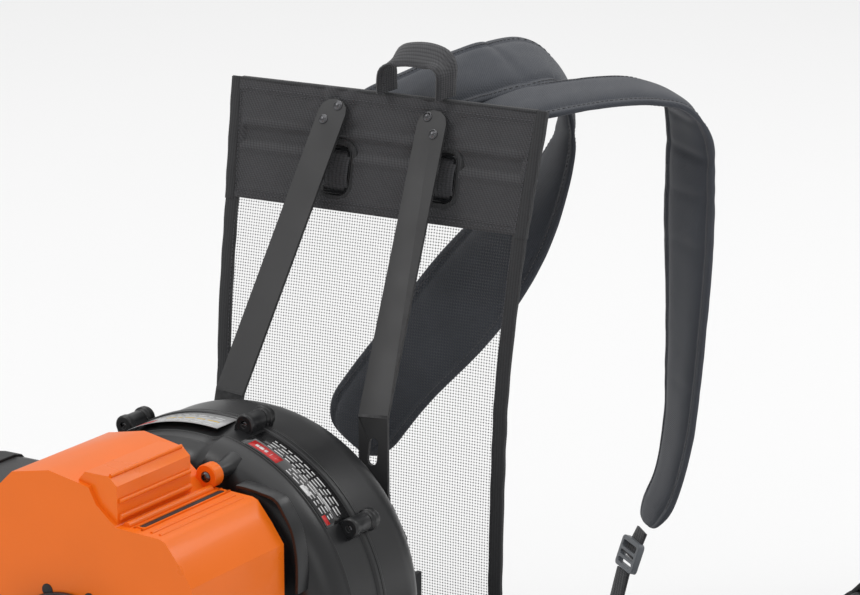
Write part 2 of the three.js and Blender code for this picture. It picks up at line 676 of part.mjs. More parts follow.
function engineCylinder() {
  const profile = [[0, 248.3], [30, 248.3]];
  for (let i = 0; i < 4; i += 1) {
    const z = 252 + 14 * i;
    profile.push([30, z], [42, z], [42, z + 3], [30, z + 3]);
  }
  profile.push([30, 308], [0, 308]);
  return cut(
    join(
      turned('z', profile, CRANK_X, ENGINE_Y, 16),
      block(CRANK_X, CRANK_X + 47, ENGINE_Y - 16, ENGINE_Y + 16, 262, 288),
      block(CRANK_X - 47, CRANK_X, ENGINE_Y - 14, ENGINE_Y + 14, 262, 284),
    ),
    rod('z', BORE_RADIUS, 247, 297, CRANK_X, ENGINE_Y),
    rod('z', 6.4, 290, 310, CRANK_X, ENGINE_Y, 12),
    rod('x', 9, CRANK_X, CRANK_X + 50, ENGINE_Y, 275, 12),
    rod('x', 8, CRANK_X - 50, CRANK_X, ENGINE_Y, 273, 12),
  );
}

const piston = () => cut(
  rod('z', BORE_RADIUS - GAP, 258, 290, CRANK_X, ENGINE_Y, 16),
  rod('z', 17, 250, 284, CRANK_X, ENGINE_Y, 16),
  rod('y', 5.5, ENGINE_Y - 30, ENGINE_Y + 30, CRANK_X, 270, 12),
);

// The rod is drawn with an open big end, clear of the circle that the crank pin sweeps.
function connectingRod() {
  const saddle = cut(
    rod('y', 31, ENGINE_Y - 6, ENGINE_Y + 6, CRANK_X, CRANK_Z, 20),
    rod('y', 25.5, ENGINE_Y - 7, ENGINE_Y + 7, CRANK_X, CRANK_Z, 20),
    block(CRANK_X - 40, CRANK_X + 40, ENGINE_Y - 7, ENGINE_Y + 7, CRANK_Z - 40, CRANK_Z + 20),
  );
  return cut(
    join(
      saddle,
      block(CRANK_X - 5, CRANK_X + 5, ENGINE_Y - 5, ENGINE_Y + 5, CRANK_Z + 27, 264),
      rod('y', 10, ENGINE_Y - 6, ENGINE_Y + 6, CRANK_X, 270, 16),
    ),
    rod('y', 5.5, ENGINE_Y - 30, ENGINE_Y + 30, CRANK_X, 270, 12),
  );
}

function crankshaft() {
  const pinZ = CRANK_Z + CRANK_THROW;
  return join(
    rod('y', SHAFT_RADIUS, -186, -118, CRANK_X, CRANK_Z, 16),
    rod('y', SHAFT_RADIUS, -98, -14, CRANK_X, CRANK_Z, 16),
    rod('y', 34, -134, -118, CRANK_X, CRANK_Z, 20),
    rod('y', 34, -98, -82, CRANK_X, CRANK_Z, 20),
    rod('y', 7, -119, -97, CRANK_X, pinZ, 16),
  );
}

const bearing = (from, to) => washer('y', 15.9, SHAFT_RADIUS + GAP, from, to, CRANK_X, CRANK_Z);

function flywheel() {
  const vanes = Array.from({ length: 6 }, (_, i) => {
    const vane = new THREE.BoxGeometry(24, 12, 3);
    vane.translate(36, 0, 0);
    vane.rotateY(radians(60 * i));
    vane.translate(CRANK_X, -178, CRANK_Z);
    return toSolid(vane);
  });
  return cut(
    join(rod('y', 52, -174, -154, CRANK_X, CRANK_Z, 20), rod('y', 18, -184, -154, CRANK_X, CRANK_Z, 16), vanes),
    rod('y', SHAFT_RADIUS + GAP, -190, -150, CRANK_X, CRANK_Z, 16),
  );
}

const ignitionCoil = () => join(
  block(CRANK_X - 24, CRANK_X + 24, -170, -158, 256, 272),
  block(CRANK_X - 24, CRANK_X - 16, -170, -158, 247, 258),
  block(CRANK_X + 16, CRANK_X + 24, -170, -158, 247, 258),
);

const sparkPlug = () => join(
  rod('z', 6, 298, 309, CRANK_X, ENGINE_Y, 16),
  rod('z', 10, 308 + GAP, 316, CRANK_X, ENGINE_Y, 6),
  rod('z', 6.5, 315, 332, CRANK_X, ENGINE_Y, 16),
);

function muffler() {
  const can = slab(roundedRectangle(-149, -84, 216, 290, 10, 3), 'yz', 42, 95, [4, 4]);
  return cut(
    join(can, rod('x', 12, CRANK_X + 47 + GAP, 46, ENGINE_Y, 275, 16), rod('x', 8, 90, 114, -128, 232, 16)),
    rod('x', 8.5, 30, 60, ENGINE_Y, 275, 16),
    rod('x', 5.5, 80, 120, -128, 232, 16),
  );
}

function carburetor() {
  return cut(
    join(
      block(-88, -64, -126, -90, 256, 286),
      rod('x', 13, -66, CRANK_X - 47 - GAP, ENGINE_Y, 273, 16),
      rod('z', 3, 284, 291, -76, ENGINE_Y, 12),
    ),
    rod('x', 8, -90, -50, ENGINE_Y, 273, 16),
  );
}

function throttleArm() {
  const arm = [[-6, -6], [6, -6], [5, 18], [0, 22], [-5, 18]].map(([u, v]) => [-76 + u, ENGINE_Y + v]);
  return cut(slab(arm, 'xy', 287.5, 290), rod('z', 3.4, 286, 292, -76, ENGINE_Y, 12));
}

const FILTER_LEFT = -150;
const FILTER_RIGHT = -95;
const FILTER_FRONT = -164;
const FILTER_REAR = -70;
const CHOKE_PIVOT = [-118, 236];
const PRIMER_SPOT = [-118, 282];

function filterHousing() {
  const outline = roundedRectangle(FILTER_FRONT, FILTER_REAR, 198, 312, 16);
  const tray = cut(
    slab(outline, 'yz', FILTER_LEFT, FILTER_RIGHT),
    slab(inset(outline, 3), 'yz', FILTER_LEFT - 1, FILTER_RIGHT - 3),
  );
  const [primerX, primerZ] = PRIMER_SPOT;
  const [chokeX, chokeZ] = CHOKE_PIVOT;
  const collar = washer('y', 16, 12.5, FILTER_FRONT - 8, FILTER_FRONT + 1, primerX, primerZ, 20);
  return cut(
    join(tray, collar, rod('y', 3, FILTER_FRONT - 9, FILTER_FRONT + 1, chokeX, chokeZ, 12)),
    rod('x', 9, FILTER_RIGHT - 8, FILTER_RIGHT + 1, ENGINE_Y, 273, 16),
  );
}

const filterElement = () => cut(
  slab(roundedRectangle(FILTER_FRONT + 8, FILTER_REAR - 8, 206, 304, 12, 3), 'yz', -142, -112),
  rod('x', 9, -145, -110, (FILTER_FRONT + FILTER_REAR) / 2, 255, 16),
);

function filterCover() {
  const outline = roundedRectangle(FILTER_FRONT - 2, FILTER_REAR + 2, 196, 314, 18);
  const middle = (FILTER_FRONT + FILTER_REAR) / 2;
  const shell = cut(
    slab(outline, 'yz', -178, -130, [10, 10]),
    slab(inset(outline, 4), 'yz', -174, -120, [8, 8]),
    block(FILTER_LEFT - GAP, -100, FILTER_FRONT - 5, FILTER_REAR + 5, 190, 320),
  );
  return cut(join(shell, washer('x', 20, 8, -181, -174, middle, 255, 20)), rod('x', 5.3, -190, -160, middle, 255, 12));
}

const filterKnob = () => join(
  turned('x', [[0, -196], [13, -196], [16, -193], [16, -184], [13, -181.5], [0, -181.5]],
    (FILTER_FRONT + FILTER_REAR) / 2, 255, 12),
  rod('x', 5, -184, -166, (FILTER_FRONT + FILTER_REAR) / 2, 255, 12),
);

function chokeLever() {
  const [x, z] = CHOKE_PIVOT;
  const arm = [[-5, -4], [5, -4], [7, 4], [4, 22], [-4, 22], [-7, 4]].map(([u, v]) => [x + u, z + v]);
  return cut(slab(arm, 'xz', FILTER_FRONT - 7, FILTER_FRONT - 3), rod('y', 3.4, -180, -160, x, z, 12));
}

const primerBulb = () => turned('y', [
  [0, FILTER_FRONT - 15], [6, FILTER_FRONT - 14], [10, FILTER_FRONT - 10.5], [11.5, FILTER_FRONT - 5],
  [0, FILTER_FRONT - 5],
], PRIMER_SPOT[0], PRIMER_SPOT[1], 20);

const CAP_SPOT = [-78, -168];

function fuelTank() {
  const outline = roundedRectangle(-106, 98, -196, -74, 24);
  const [x, y] = CAP_SPOT;
  return cut(
    join(slab(outline, 'xy', 15, 98, [8, 8]), rod('z', 17, 90, 108, x, y, 24),
      block(-60, 60, -140, -90, BASE_HEIGHT + GAP, 20)),
    slab(inset(outline, 3), 'xy', 18, 95, [7, 7]),
    rod('z', 13, 80, 110, x, y, 24),
  );
}

const fuelCap = () => cut(
  turned('z', [[0, 98.5], [23, 98.5], [23, 116], [20, 119], [0, 119]], CAP_SPOT[0], CAP_SPOT[1], 20),
  rod('z', 17 + GAP, 97, 108 + GAP, CAP_SPOT[0], CAP_SPOT[1], 24),
);

const COVER_OUTLINE = [
  [-92, 206], [109, 206], [109, 272], [109, 281], [98, 297], [85, 313], [80, 315], [39, 317], [21, 332],
  [14, 345], [-24, 352], [-60, 345], [-84, 322], [-92, 298],
];

function engineCover() {
  const shell = cut(
    join(
      slab(COVER_OUTLINE, 'xz', COVER_FRONT, COVER_REAR),
      slab([[2, 318], [38, 314], [38, 348], [30, 355], [8, 355], [2, 348]], 'xz', COVER_FRONT + 4, -102),
    ),
    slab(inset(COVER_OUTLINE, 2.8), 'xz', COVER_FRONT + 3, COVER_REAR + 1),
    block(-89, 106, COVER_FRONT + 3, COVER_REAR + 1, 200, 212),
    rod('y', 46, COVER_FRONT - 1, COVER_FRONT + 4, CRANK_X, CRANK_Z, 20),
    rod('x', 10, 100, 115, -128, 232, 16),
    block(-94, -80, -140, -76, 240, 304),
  );
  const [tabX, tabZ] = STANDOFFS[0];
  const tab = cut(
    rod('y', 10, COVER_REAR - 6, FAN_FRONT - 12 - GAP, tabX, tabZ, 20),
    slab(inset(COVER_OUTLINE, 2.8), 'xz', COVER_FRONT + 3, COVER_REAR + 5),
  );
  return join(shell, tab);
}

// ---- recoil starter --------------------------------------------------------------------------

const ROPE_SPOT = [CRANK_X + 26, 166];
const ROPE_Y = -208;
const ROPE_RISE = 20;

function starterHousing() {
  const rim = COVER_FRONT - GAP;
  const bell = turned('y', [
    [0, STARTER_FRONT], [44, STARTER_FRONT], [56, STARTER_FRONT + 10], [56, rim - 4], [64, rim - 4], [64, rim],
    [52, rim], [52, STARTER_FRONT + 11], [42, STARTER_FRONT + 3], [6, STARTER_FRONT + 3], [6, -199], [0, -199],
  ], CRANK_X, CRANK_Z, 20);
  const vents = Array.from({ length: 4 }, (_, i) => {
    const vent = new THREE.BoxGeometry(18, 10, 4);
    vent.translate(30, 0, 0);
    vent.rotateY(radians(90 * i + 45));
    vent.translate(CRANK_X, STARTER_FRONT + 2, CRANK_Z);
    return toSolid(vent);
  });
  return cut(join(bell, ropeBush(11)), vents, ropeBush(4.2, 12));
}

// The bush that the rope leaves through, and by the same call the hole in it.
function ropeBush(radius, longer = 0) {
  const bush = new THREE.CylinderGeometry(radius, radius, 20 + 2 * longer, 16);
  bush.rotateZ(-Math.PI / 2);
  bush.translate(36, 0, 0);
  return moved(toSolid(bush), ropeFrame);
}

const ropeFrame = new THREE.Matrix4().makeRotationY(-radians(ROPE_RISE));
ropeFrame.setPosition(ROPE_SPOT[0], ROPE_Y, ROPE_SPOT[1]);

const starterRope = () => moved(rod('x', 2, 6, 60, 0, 0, 8), ropeFrame);

const starterGrip = () => moved(join(
  turned('x', [[0, 60 + GAP], [7, 60 + GAP], [9, 66], [9, 76], [0, 76]], 0, 0, 16),
  slab(roundedRectangle(66, 86, -38, 38, 9, 4), 'xy', -9, 9, [4, 4]),
), ropeFrame);

const starterPulley = () => cut(
  turned('y', [[0, -213], [30, -213], [30, -211], [25, -209], [25, -207], [30, -205], [30, -203], [0, -203]],
    CRANK_X, CRANK_Z, 20),
  rod('y', 6 + GAP, -220, -200, CRANK_X, CRANK_Z, 20),
);

// ---- throttle cable --------------------------------------------------------------------------

const inLance = (x, s, z) => vector(x, s, z).applyMatrix4(lance.matrix).toArray();

// From the carburettor, under the crankcase, round the fan housing and along the rear half of the hose.
const CABLE_REAR = [
  [-76, -82, 290], [-76, -79, 270], [-80, -78, 200], [-76, -80, 150], [-50, -84, 116], [0, -84, 112],
  [60, -80, 116], [110, -74, 128], [150, -66, 136], [178, -36, 134], [196, 2, 130], [210, 34, 127],
  inLance(0, 4, 58), inLance(0, 40, 57), inLance(0, 80, 57), inLance(0, HOSE_HALF - GAP, 57),
];
const CABLE_FRONT = [
  inLance(0, HOSE_HALF + GAP, 57), inLance(0, 170, 55), inLance(0, 215, 54), inLance(0, 250, 54),
  inLance(0, HANDLE_S - 34, 60),
];

const cable = (points, steps) => pipe(curveThrough(points), 2.5, 0, steps, 8);

// ---- every piece in its place ----------------------------------------------------------------

add('base_frame', baseFrame(), BLACK_PLASTIC);
add('back_frame', backFrame(), BLACK_PLASTIC);
add('lower_hoop', lowerHoop(), BLACK_STEEL);
add('stay_left', stay(-1), BLACK_STEEL);
add('stay_right', stay(1), BLACK_STEEL);
add('mesh_panel', panelStretch(PANEL_BOTTOM, BAND_BOTTOM, 3, 14), MESH_FABRIC);
add('top_band', topBand(), FABRIC);
add('grab_loop', grabLoop(), FABRIC);
add('shoulder_strap_left', ribbon(SHOULDER_LEFT, STRAP_WIDTH, STRAP_THICKNESS, 30), FABRIC);
add('shoulder_strap_right', ribbon(SHOULDER_RIGHT, STRAP_WIDTH, STRAP_THICKNESS, 36), FABRIC);
add('strap_webbing_left', ribbon(WEBBING_LEFT, 25, 2, 12), FABRIC);
add('strap_webbing_right', ribbon(WEBBING_RIGHT, 25, 2, 20), FABRIC);
add('ladder_lock_left', ladderLock(vector(-46, 224, 233), vector(0.86, 0, -0.51), vector(-0.51, 0, -0.86)),
  GREY_PLASTIC);
add('ladder_lock_right', ladderLock(vector(186, 351.5, 160),
  vector(0.78, -0.62, 0).normalize(), vector(-0.2, -0.25, -0.95).normalize()), GREY_PLASTIC);
add('triglide_left', triglide('left'), BLACK_PLASTIC);
add('triglide_right', triglide('right'), BLACK_PLASTIC);

const housing = fanHousing();
add('volute_front', voluteFront(housing), BLACK_PLASTIC);
add('volute_rear', voluteRear(housing), BLACK_PLASTIC);
add('intake_grille', intakeGrille(), BLACK_PLASTIC);
add('impeller', impeller(), GREY_PLASTIC);
for (const [side, x] of [['left', -95], ['right', 95]]) {
  add(`isolator_${side}`, rod('z', 14, BASE_HEIGHT + GAP, 28 - GAP, x, 20, 20), RUBBER);
}

add('elbow', elbow(), BLACK_PLASTIC);
add('bellows_rear', bellows(DUCT_RADIUS + GAP, true), RUBBER, lance);
add('bellows_front', bellows(TUBE_RADIUS + GAP + 0.1, false), RUBBER, lance);
add('hose_clamp_rear', hoseClamp(DUCT_RADIUS + 3 + 2 * GAP, 6), STEEL, lance);
add('blower_tube', blowerTube(), BLACK_PLASTIC, lance);
add('nozzle', nozzle(), BLACK_PLASTIC, lance);
add('handle_grip', handleGrip(), BLACK_PLASTIC, lance);
add('throttle_trigger', throttleTrigger(), ORANGE_PLASTIC, lance);
add('cruise_lever', cruiseLever(), BLACK_PLASTIC, lance);
add('stop_switch', stopSwitch(), look(0xb3151b, 0.4, 0), lance);
add('throttle_cable_rear', cable(CABLE_REAR, 34), RUBBER);
add('throttle_cable_front', cable(CABLE_FRONT, 10), RUBBER);

add('crankcase', crankcase(), ALUMINIUM);
add('cylinder', engineCylinder(), ALUMINIUM);
add('piston', piston(), ALUMINIUM);
add('connecting_rod', connectingRod(), STEEL);
add('crankshaft', crankshaft(), STEEL);
add('bearing_front', bearing(-147.5, -138.5), STEEL);
add('bearing_rear', bearing(-77.5, -66), STEEL);
add('flywheel', flywheel(), ALUMINIUM);
add('ignition_coil', ignitionCoil(), BLACK_PLASTIC);
add('spark_plug', sparkPlug(), CERAMIC);
add('muffler', muffler(), STEEL);
add('carburetor', carburetor(), ALUMINIUM);
add('throttle_arm', throttleArm(), STEEL);
add('filter_housing', filterHousing(), BLACK_PLASTIC);
add('filter_element', filterElement(), FOAM);
add('filter_cover', filterCover(), BLACK_PLASTIC);
add('filter_knob', filterKnob(), GREY_PLASTIC);
add('choke_lever', chokeLever(), ORANGE_PLASTIC);
add('primer_bulb', primerBulb(), look(0xb9bdb6, 0.3, 0));
add('fuel_tank', fuelTank(), TANK_PLASTIC);
add('fuel_cap', fuelCap(), BLACK_PLASTIC);
add('engine_cover', engineCover(), ORANGE_PLASTIC);
add('starter_housing', starterHousing(), BLACK_PLASTIC);
add('starter_pulley', starterPulley(), BLACK_PLASTIC);
add('starter_rope', starterRope(), look(0xe8e4d8, 0.8, 0));
add('starter_grip', starterGrip(), BLACK_PLASTIC);

export default machine;
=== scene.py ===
"""Backpack leaf blower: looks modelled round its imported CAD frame."""

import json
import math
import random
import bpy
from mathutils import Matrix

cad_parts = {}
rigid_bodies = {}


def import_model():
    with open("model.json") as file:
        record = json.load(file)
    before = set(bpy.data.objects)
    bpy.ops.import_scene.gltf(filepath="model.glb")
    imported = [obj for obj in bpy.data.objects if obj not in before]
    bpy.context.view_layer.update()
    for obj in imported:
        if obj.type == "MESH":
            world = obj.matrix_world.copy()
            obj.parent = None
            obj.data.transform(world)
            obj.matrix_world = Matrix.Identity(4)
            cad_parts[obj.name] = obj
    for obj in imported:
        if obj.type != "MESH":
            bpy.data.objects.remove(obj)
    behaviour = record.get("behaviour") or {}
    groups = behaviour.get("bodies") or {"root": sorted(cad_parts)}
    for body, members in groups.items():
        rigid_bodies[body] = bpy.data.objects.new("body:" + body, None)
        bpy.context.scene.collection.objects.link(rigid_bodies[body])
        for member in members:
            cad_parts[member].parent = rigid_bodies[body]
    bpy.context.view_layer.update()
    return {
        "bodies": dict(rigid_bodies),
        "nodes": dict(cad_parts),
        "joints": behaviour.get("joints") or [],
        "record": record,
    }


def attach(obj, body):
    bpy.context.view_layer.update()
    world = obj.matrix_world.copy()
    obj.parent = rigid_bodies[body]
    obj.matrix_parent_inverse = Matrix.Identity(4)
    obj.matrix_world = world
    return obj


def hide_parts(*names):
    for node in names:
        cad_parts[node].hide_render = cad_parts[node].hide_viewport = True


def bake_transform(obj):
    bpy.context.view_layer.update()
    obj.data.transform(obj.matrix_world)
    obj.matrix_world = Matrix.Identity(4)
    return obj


bl_info = {
    "name": "Backpack Leaf Blower",
    "version": (1, 0, 0),
    "blender": (4, 5, 0),
    "location": "3D View > Sidebar > Blower",
    "description": "Builds the visible pieces of a backpack leaf blower around its CAD frame",
    "category": "Add Mesh",
}

import bmesh
import bpy
from bpy.props import FloatProperty, FloatVectorProperty, PointerProperty
from mathutils import Matrix, Vector, noise

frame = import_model()
NODES = frame["nodes"]

# Lengths below are in millimetres; pieces are scaled to metres when they are finished.
MM = 0.001
# Middle of the crankshaft, and the place of the hose and tube: Y runs along them.
CRANK = Vector((-8, 0, 192))
LANCE = Matrix((
    (0.653492, 0.341668, 0.675434, 223.261),
    (-0.271987, 0.938725, -0.211703, 60.795),
    (-0.706379, -0.045363, 0.706379, 70.0),
    (0, 0, 0, 1),
))


# ---- settings that a user may change ---------------------------------------------------------

class BlowerSizes(bpy.types.PropertyGroup):
    fan_radius: FloatProperty(
        name="Fan radius", description="Outside radius of the fan housing", default=0.154,
        subtype="DISTANCE", unit="LENGTH")
    pad_width: FloatProperty(
        name="Pad width", description="Width of a shoulder pad", default=0.076,
        subtype="DISTANCE", unit="LENGTH")
    pad_thickness: FloatProperty(
        name="Pad thickness", description="Thickness of a shoulder pad", default=0.013,
        subtype="DISTANCE", unit="LENGTH")
    net_pitch: FloatProperty(
        name="Net pitch", description="Distance between the knots of the back panel's net",
        default=0.0026, subtype="DISTANCE", unit="LENGTH")
    stitch_pitch: FloatProperty(
        name="Stitch pitch", description="Length from one stitch to the next", default=0.0036,
        subtype="DISTANCE", unit="LENGTH")


class BlowerColours(bpy.types.PropertyGroup):
    shell: FloatVectorProperty(
        name="Shell", description="Colour of the engine cover", size=3, subtype="COLOR",
        default=(0.90, 0.17, 0.008), min=0, max=1)
    plastic: FloatVectorProperty(
        name="Plastic", description="Colour of the black mouldings", size=3, subtype="COLOR",
        default=(0.014, 0.0145, 0.016), min=0, max=1)
    fabric: FloatVectorProperty(
        name="Fabric", description="Colour of the harness fabric", size=3, subtype="COLOR",
        default=(0.026, 0.029, 0.036), min=0, max=1)
    floor: FloatVectorProperty(
        name="Floor", description="Colour of the studio floor", size=3, subtype="COLOR",
        default=(0.91, 0.91, 0.91), min=0, max=1)


# ---- shader groups ---------------------------------------------------------------------------

class Tree:
    """Short calls for placing and linking nodes in one node tree."""

    def __init__(self, tree):
        self.tree = tree

    def node(self, kind, **values):
        made = self.tree.nodes.new(kind)
        for key, value in values.items():
            setattr(made, key, value)
        return made

    def link(self, source, target):
        self.tree.links.new(source, target)

    def put(self, socket, value):
        if isinstance(value, bpy.types.NodeSocket):
            self.link(value, socket)
        else:
            socket.default_value = value

    def math(self, operation, *values, clamp=False):
        made = self.node("ShaderNodeMath", operation=operation, use_clamp=clamp)
        for socket, value in zip(made.inputs, values):
            self.put(socket, value)
        return made.outputs[0]

    def vector(self, operation, *values, output=0):
        made = self.node("ShaderNodeVectorMath", operation=operation)
        for socket, value in zip(made.inputs, values):
            self.put(socket, value)
        return made.outputs[output]

    def spread(self, value, low, high, to_low=0.0, to_high=1.0):
        made = self.node("ShaderNodeMapRange")
        for socket, given in zip(made.inputs, (value, low, high, to_low, to_high)):
            self.put(socket, given)
        return made.outputs[0]

    def noise(self, vector, scale, detail=2.0):
        made = self.node("ShaderNodeTexNoise")
        self.put(made.inputs["Vector"], vector)
        self.put(made.inputs["Scale"], scale)
        self.put(made.inputs["Detail"], detail)
        return made.outputs["Fac"]

    def mix(self, factor, first, second):
        made = self.node("ShaderNodeMix", data_type="RGBA")
        self.put(made.inputs[0], factor)
        self.put(made.inputs[6], first)
        self.put(made.inputs[7], second)
        return made.outputs[2]


def new_group(name, inputs, outputs):
    """An empty shader group with named sockets: its tree, and the sockets inside it by name."""
    group = bpy.data.node_groups.new(name, "ShaderNodeTree")
    for label, kind, default in inputs:
        socket = group.interface.new_socket(label, in_out="INPUT", socket_type="NodeSocket" + kind)
        if default is not None:
            socket.default_value = default
    for label, kind in outputs:
        group.interface.new_socket(label, in_out="OUTPUT", socket_type="NodeSocket" + kind)
    tree = Tree(group)
    entry = tree.node("NodeGroupInput")
    end = tree.node("NodeGroupOutput")
    return tree, entry.outputs, end.inputs


def grain_group():
    """Fine moulded grain and slow changes of tone."""
    tree, given, made = new_group(
        "surface_grain", [("Vector", "Vector", None), ("Scale", "Float", 900.0)],
        [("Height", "Float"), ("Tone", "Float")])
    tree.link(tree.noise(given["Vector"], given["Scale"], 3.0), made["Height"])
    slow = tree.math("MULTIPLY", given["Scale"], 0.016)
    tree.link(tree.spread(tree.noise(given["Vector"], slow, 4.0), 0.3, 0.7), made["Tone"])


def wear_group():
    """Rubbed places along convex edges."""
    tree, given, made = new_group(
        "edge_wear", [("Vector", "Vector", None), ("Amount", "Float", 0.5)], [("Mask", "Float")])
    point = tree.node("ShaderNodeNewGeometry").outputs["Pointiness"]
    edge = tree.spread(point, 0.56, 0.68)
    patch = tree.spread(tree.noise(given["Vector"], 160.0, 5.0), 0.42, 0.62)
    both = tree.math("MULTIPLY", edge, patch)
    tree.link(tree.math("MULTIPLY", both, given["Amount"], clamp=True), made["Mask"])


def dust_group():
    """Dust that lies on faces that look up."""
    tree, given, made = new_group(
        "dust", [("Vector", "Vector", None), ("Amount", "Float", 0.2)], [("Mask", "Float")])
    split = tree.node("ShaderNodeSeparateXYZ")
    tree.link(tree.node("ShaderNodeNewGeometry").outputs["Normal"], split.inputs[0])
    up = tree.spread(split.outputs[2], 0.2, 1.0)
    patch = tree.spread(tree.noise(given["Vector"], 60.0, 6.0), 0.35, 0.75)
    both = tree.math("MULTIPLY", up, patch)
    tree.link(tree.math("MULTIPLY", both, given["Amount"], clamp=True), made["Mask"])


def weave_group():
    """Diagonal twill ribs crossed by finer threads, on a map in metres. Thread is the rib height times a random
    fuzz, so colour drawn from it is painted shade in the grooves and lighter on raised threads.
    """
    tree, given, made = new_group(
        "weave", [("Vector", "Vector", None), ("Pitch", "Float", 0.0012), ("Slant", "Float", 1.0)],
        [("Height", "Float"), ("Thread", "Float")])
    split = tree.node("ShaderNodeSeparateXYZ")
    tree.link(given["Vector"], split.inputs[0])
    across = tree.math("DIVIDE", split.outputs[0], given["Pitch"])
    along = tree.math("DIVIDE", split.outputs[1], given["Pitch"])
    slanted = tree.math("MULTIPLY_ADD", along, given["Slant"], across)
    rib = tree.math("ABSOLUTE", tree.math("SINE", tree.math("MULTIPLY", slanted, math.pi / 2)))
    fine = tree.math("ABSOLUTE", tree.math("SINE", tree.math("MULTIPLY", along, math.pi)))
    height = tree.math("MULTIPLY_ADD", fine, 0.45, tree.math("MULTIPLY", rib, 0.55))
    tree.link(height, made["Height"])
    fuzz = tree.noise(given["Vector"], 2400.0, 2.0)
    # Thread: rib height times random thread tone; used as colour it paints shade into the grooves
    tree.link(tree.math("MULTIPLY", height, tree.spread(fuzz, 0.2, 0.8, 0.6, 1.1)), made["Thread"])


def net_group():
    """Knots on a square lattice joined by thin threads, on a map in metres."""
    tree, given, made = new_group(
        "net", [("Vector", "Vector", None), ("Pitch", "Float", 0.0026), ("Knot", "Float", 0.21),
                ("Thread", "Float", 0.035)],
        [("Alpha", "Float"), ("Height", "Float")])
    inverse = tree.math("DIVIDE", 1.0, given["Pitch"])
    scaled = tree.node("ShaderNodeVectorMath", operation="SCALE")
    tree.link(given["Vector"], scaled.inputs[0])
    tree.link(inverse, scaled.inputs["Scale"])
    flat = tree.vector("MULTIPLY", scaled.outputs[0], (1, 1, 0))
    cell = tree.vector("SUBTRACT", tree.vector("FRACTION", flat), (0.5, 0.5, 0))
    knot = tree.math("SUBTRACT", given["Knot"], tree.vector("LENGTH", cell, output=1))
    split = tree.node("ShaderNodeSeparateXYZ")
    tree.link(cell, split.inputs[0])
    nearest = tree.math("MINIMUM", tree.math("ABSOLUTE", split.outputs[0]),
                        tree.math("ABSOLUTE", split.outputs[1]))
    solid = tree.math("MAXIMUM", knot, tree.math("SUBTRACT", given["Thread"], nearest))
    tree.link(tree.math("GREATER_THAN", solid, 0.0), made["Alpha"])
    tree.link(tree.math("MAXIMUM", tree.math("MULTIPLY", knot, 4.0), 0.0), made["Height"])


def place_group(tree, name, **values):
    made = tree.node("ShaderNodeGroup", node_tree=bpy.data.node_groups[name])
    for key, value in values.items():
        tree.put(made.inputs[key], value)
    return made.outputs


def new_material(name):
    material = bpy.data.materials.new(name)
    material.use_nodes = True
    tree = Tree(material.node_tree)
    return material, tree, material.node_tree.nodes["Principled BSDF"]


def rgb(colour):
    return (colour[0], colour[1], colour[2], 1.0)


def hard_finish(name, colour, roughness, metallic=0.0, grain=900.0, depth=0.12, tone=0.25,
                wear=0.3, worn=(0.07, 0.07, 0.075), dust=0.04, coat=0.0, specular=0.5):
    """Moulded plastic or metal: grain, slow tone, rubbed edges and a little dust."""
    material, tree, shader = new_material(name)
    place = tree.node("ShaderNodeTexCoord").outputs["Object"]
    surface = place_group(tree, "surface_grain", Vector=place, Scale=grain)
    rubbed = place_group(tree, "edge_wear", Vector=place, Amount=wear)
    dusty = place_group(tree, "dust", Vector=place, Amount=dust)
    lighter = [min(1.0, c * (1 + tone) + 0.002) for c in colour]
    base = tree.mix(surface["Tone"], rgb(colour), rgb(lighter))
    base = tree.mix(rubbed["Mask"], base, rgb(worn))
    base = tree.mix(dusty["Mask"], base, rgb((0.30, 0.29, 0.27)))
    tree.link(base, shader.inputs["Base Color"])
    rough = tree.spread(surface["Tone"], 0.0, 1.0, roughness * 0.9, min(1.0, roughness * 1.15))
    rough = tree.math("MULTIPLY_ADD", dusty["Mask"], 0.5, rough)
    tree.link(tree.math("MULTIPLY_ADD", rubbed["Mask"], 0.12, rough), shader.inputs["Roughness"])
    shader.inputs["Metallic"].default_value = metallic
    shader.inputs["Coat Weight"].default_value = coat
    shader.inputs["Coat Roughness"].default_value = 0.08
    shader.inputs["Specular IOR Level"].default_value = specular
    bump = tree.node("ShaderNodeBump")
    bump.inputs["Strength"].default_value = depth
    bump.inputs["Distance"].default_value = 0.0004
    tree.link(surface["Height"], bump.inputs["Height"])
    tree.link(bump.outputs[0], shader.inputs["Normal"])
    return material


def woven_finish(name, colour, light, pitch, slant=1.0, depth=0.6, roughness=0.86):
    """Woven cloth on the piece's own map: twill ribs, thread fuzz and slow fading. The colour follows the weave's
    height, so its grooves get painted shade.
    """
    material, tree, shader = new_material(name)
    chart = tree.node("ShaderNodeUVMap", uv_map="metres").outputs[0]
    place = tree.node("ShaderNodeTexCoord").outputs["Object"]
    cloth = place_group(tree, "weave", Vector=chart, Pitch=pitch, Slant=slant)
    surface = place_group(tree, "surface_grain", Vector=place, Scale=2600.0)
    dusty = place_group(tree, "dust", Vector=place, Amount=0.12)
    # painted shade: the weave's grooves take the dark colour and its raised threads the light one, with random
    # thread tone on top
    base = tree.mix(cloth["Thread"], rgb(colour), rgb(light))
    faded = tree.mix(tree.math("MULTIPLY", surface["Tone"], 0.3), base, rgb(light))
    tree.link(tree.mix(dusty["Mask"], faded, rgb((0.16, 0.16, 0.16))), shader.inputs["Base Color"])
    tree.link(tree.spread(cloth["Height"], 0.0, 1.0, roughness, roughness - 0.18),
              shader.inputs["Roughness"])
    shader.inputs["Sheen Weight"].default_value = 0.15
    bump = tree.node("ShaderNodeBump")
    bump.inputs["Strength"].default_value = depth
    bump.inputs["Distance"].default_value = 0.0005
    tree.link(cloth["Height"], bump.inputs["Height"])
    tree.link(bump.outputs[0], shader.inputs["Normal"])
    return material


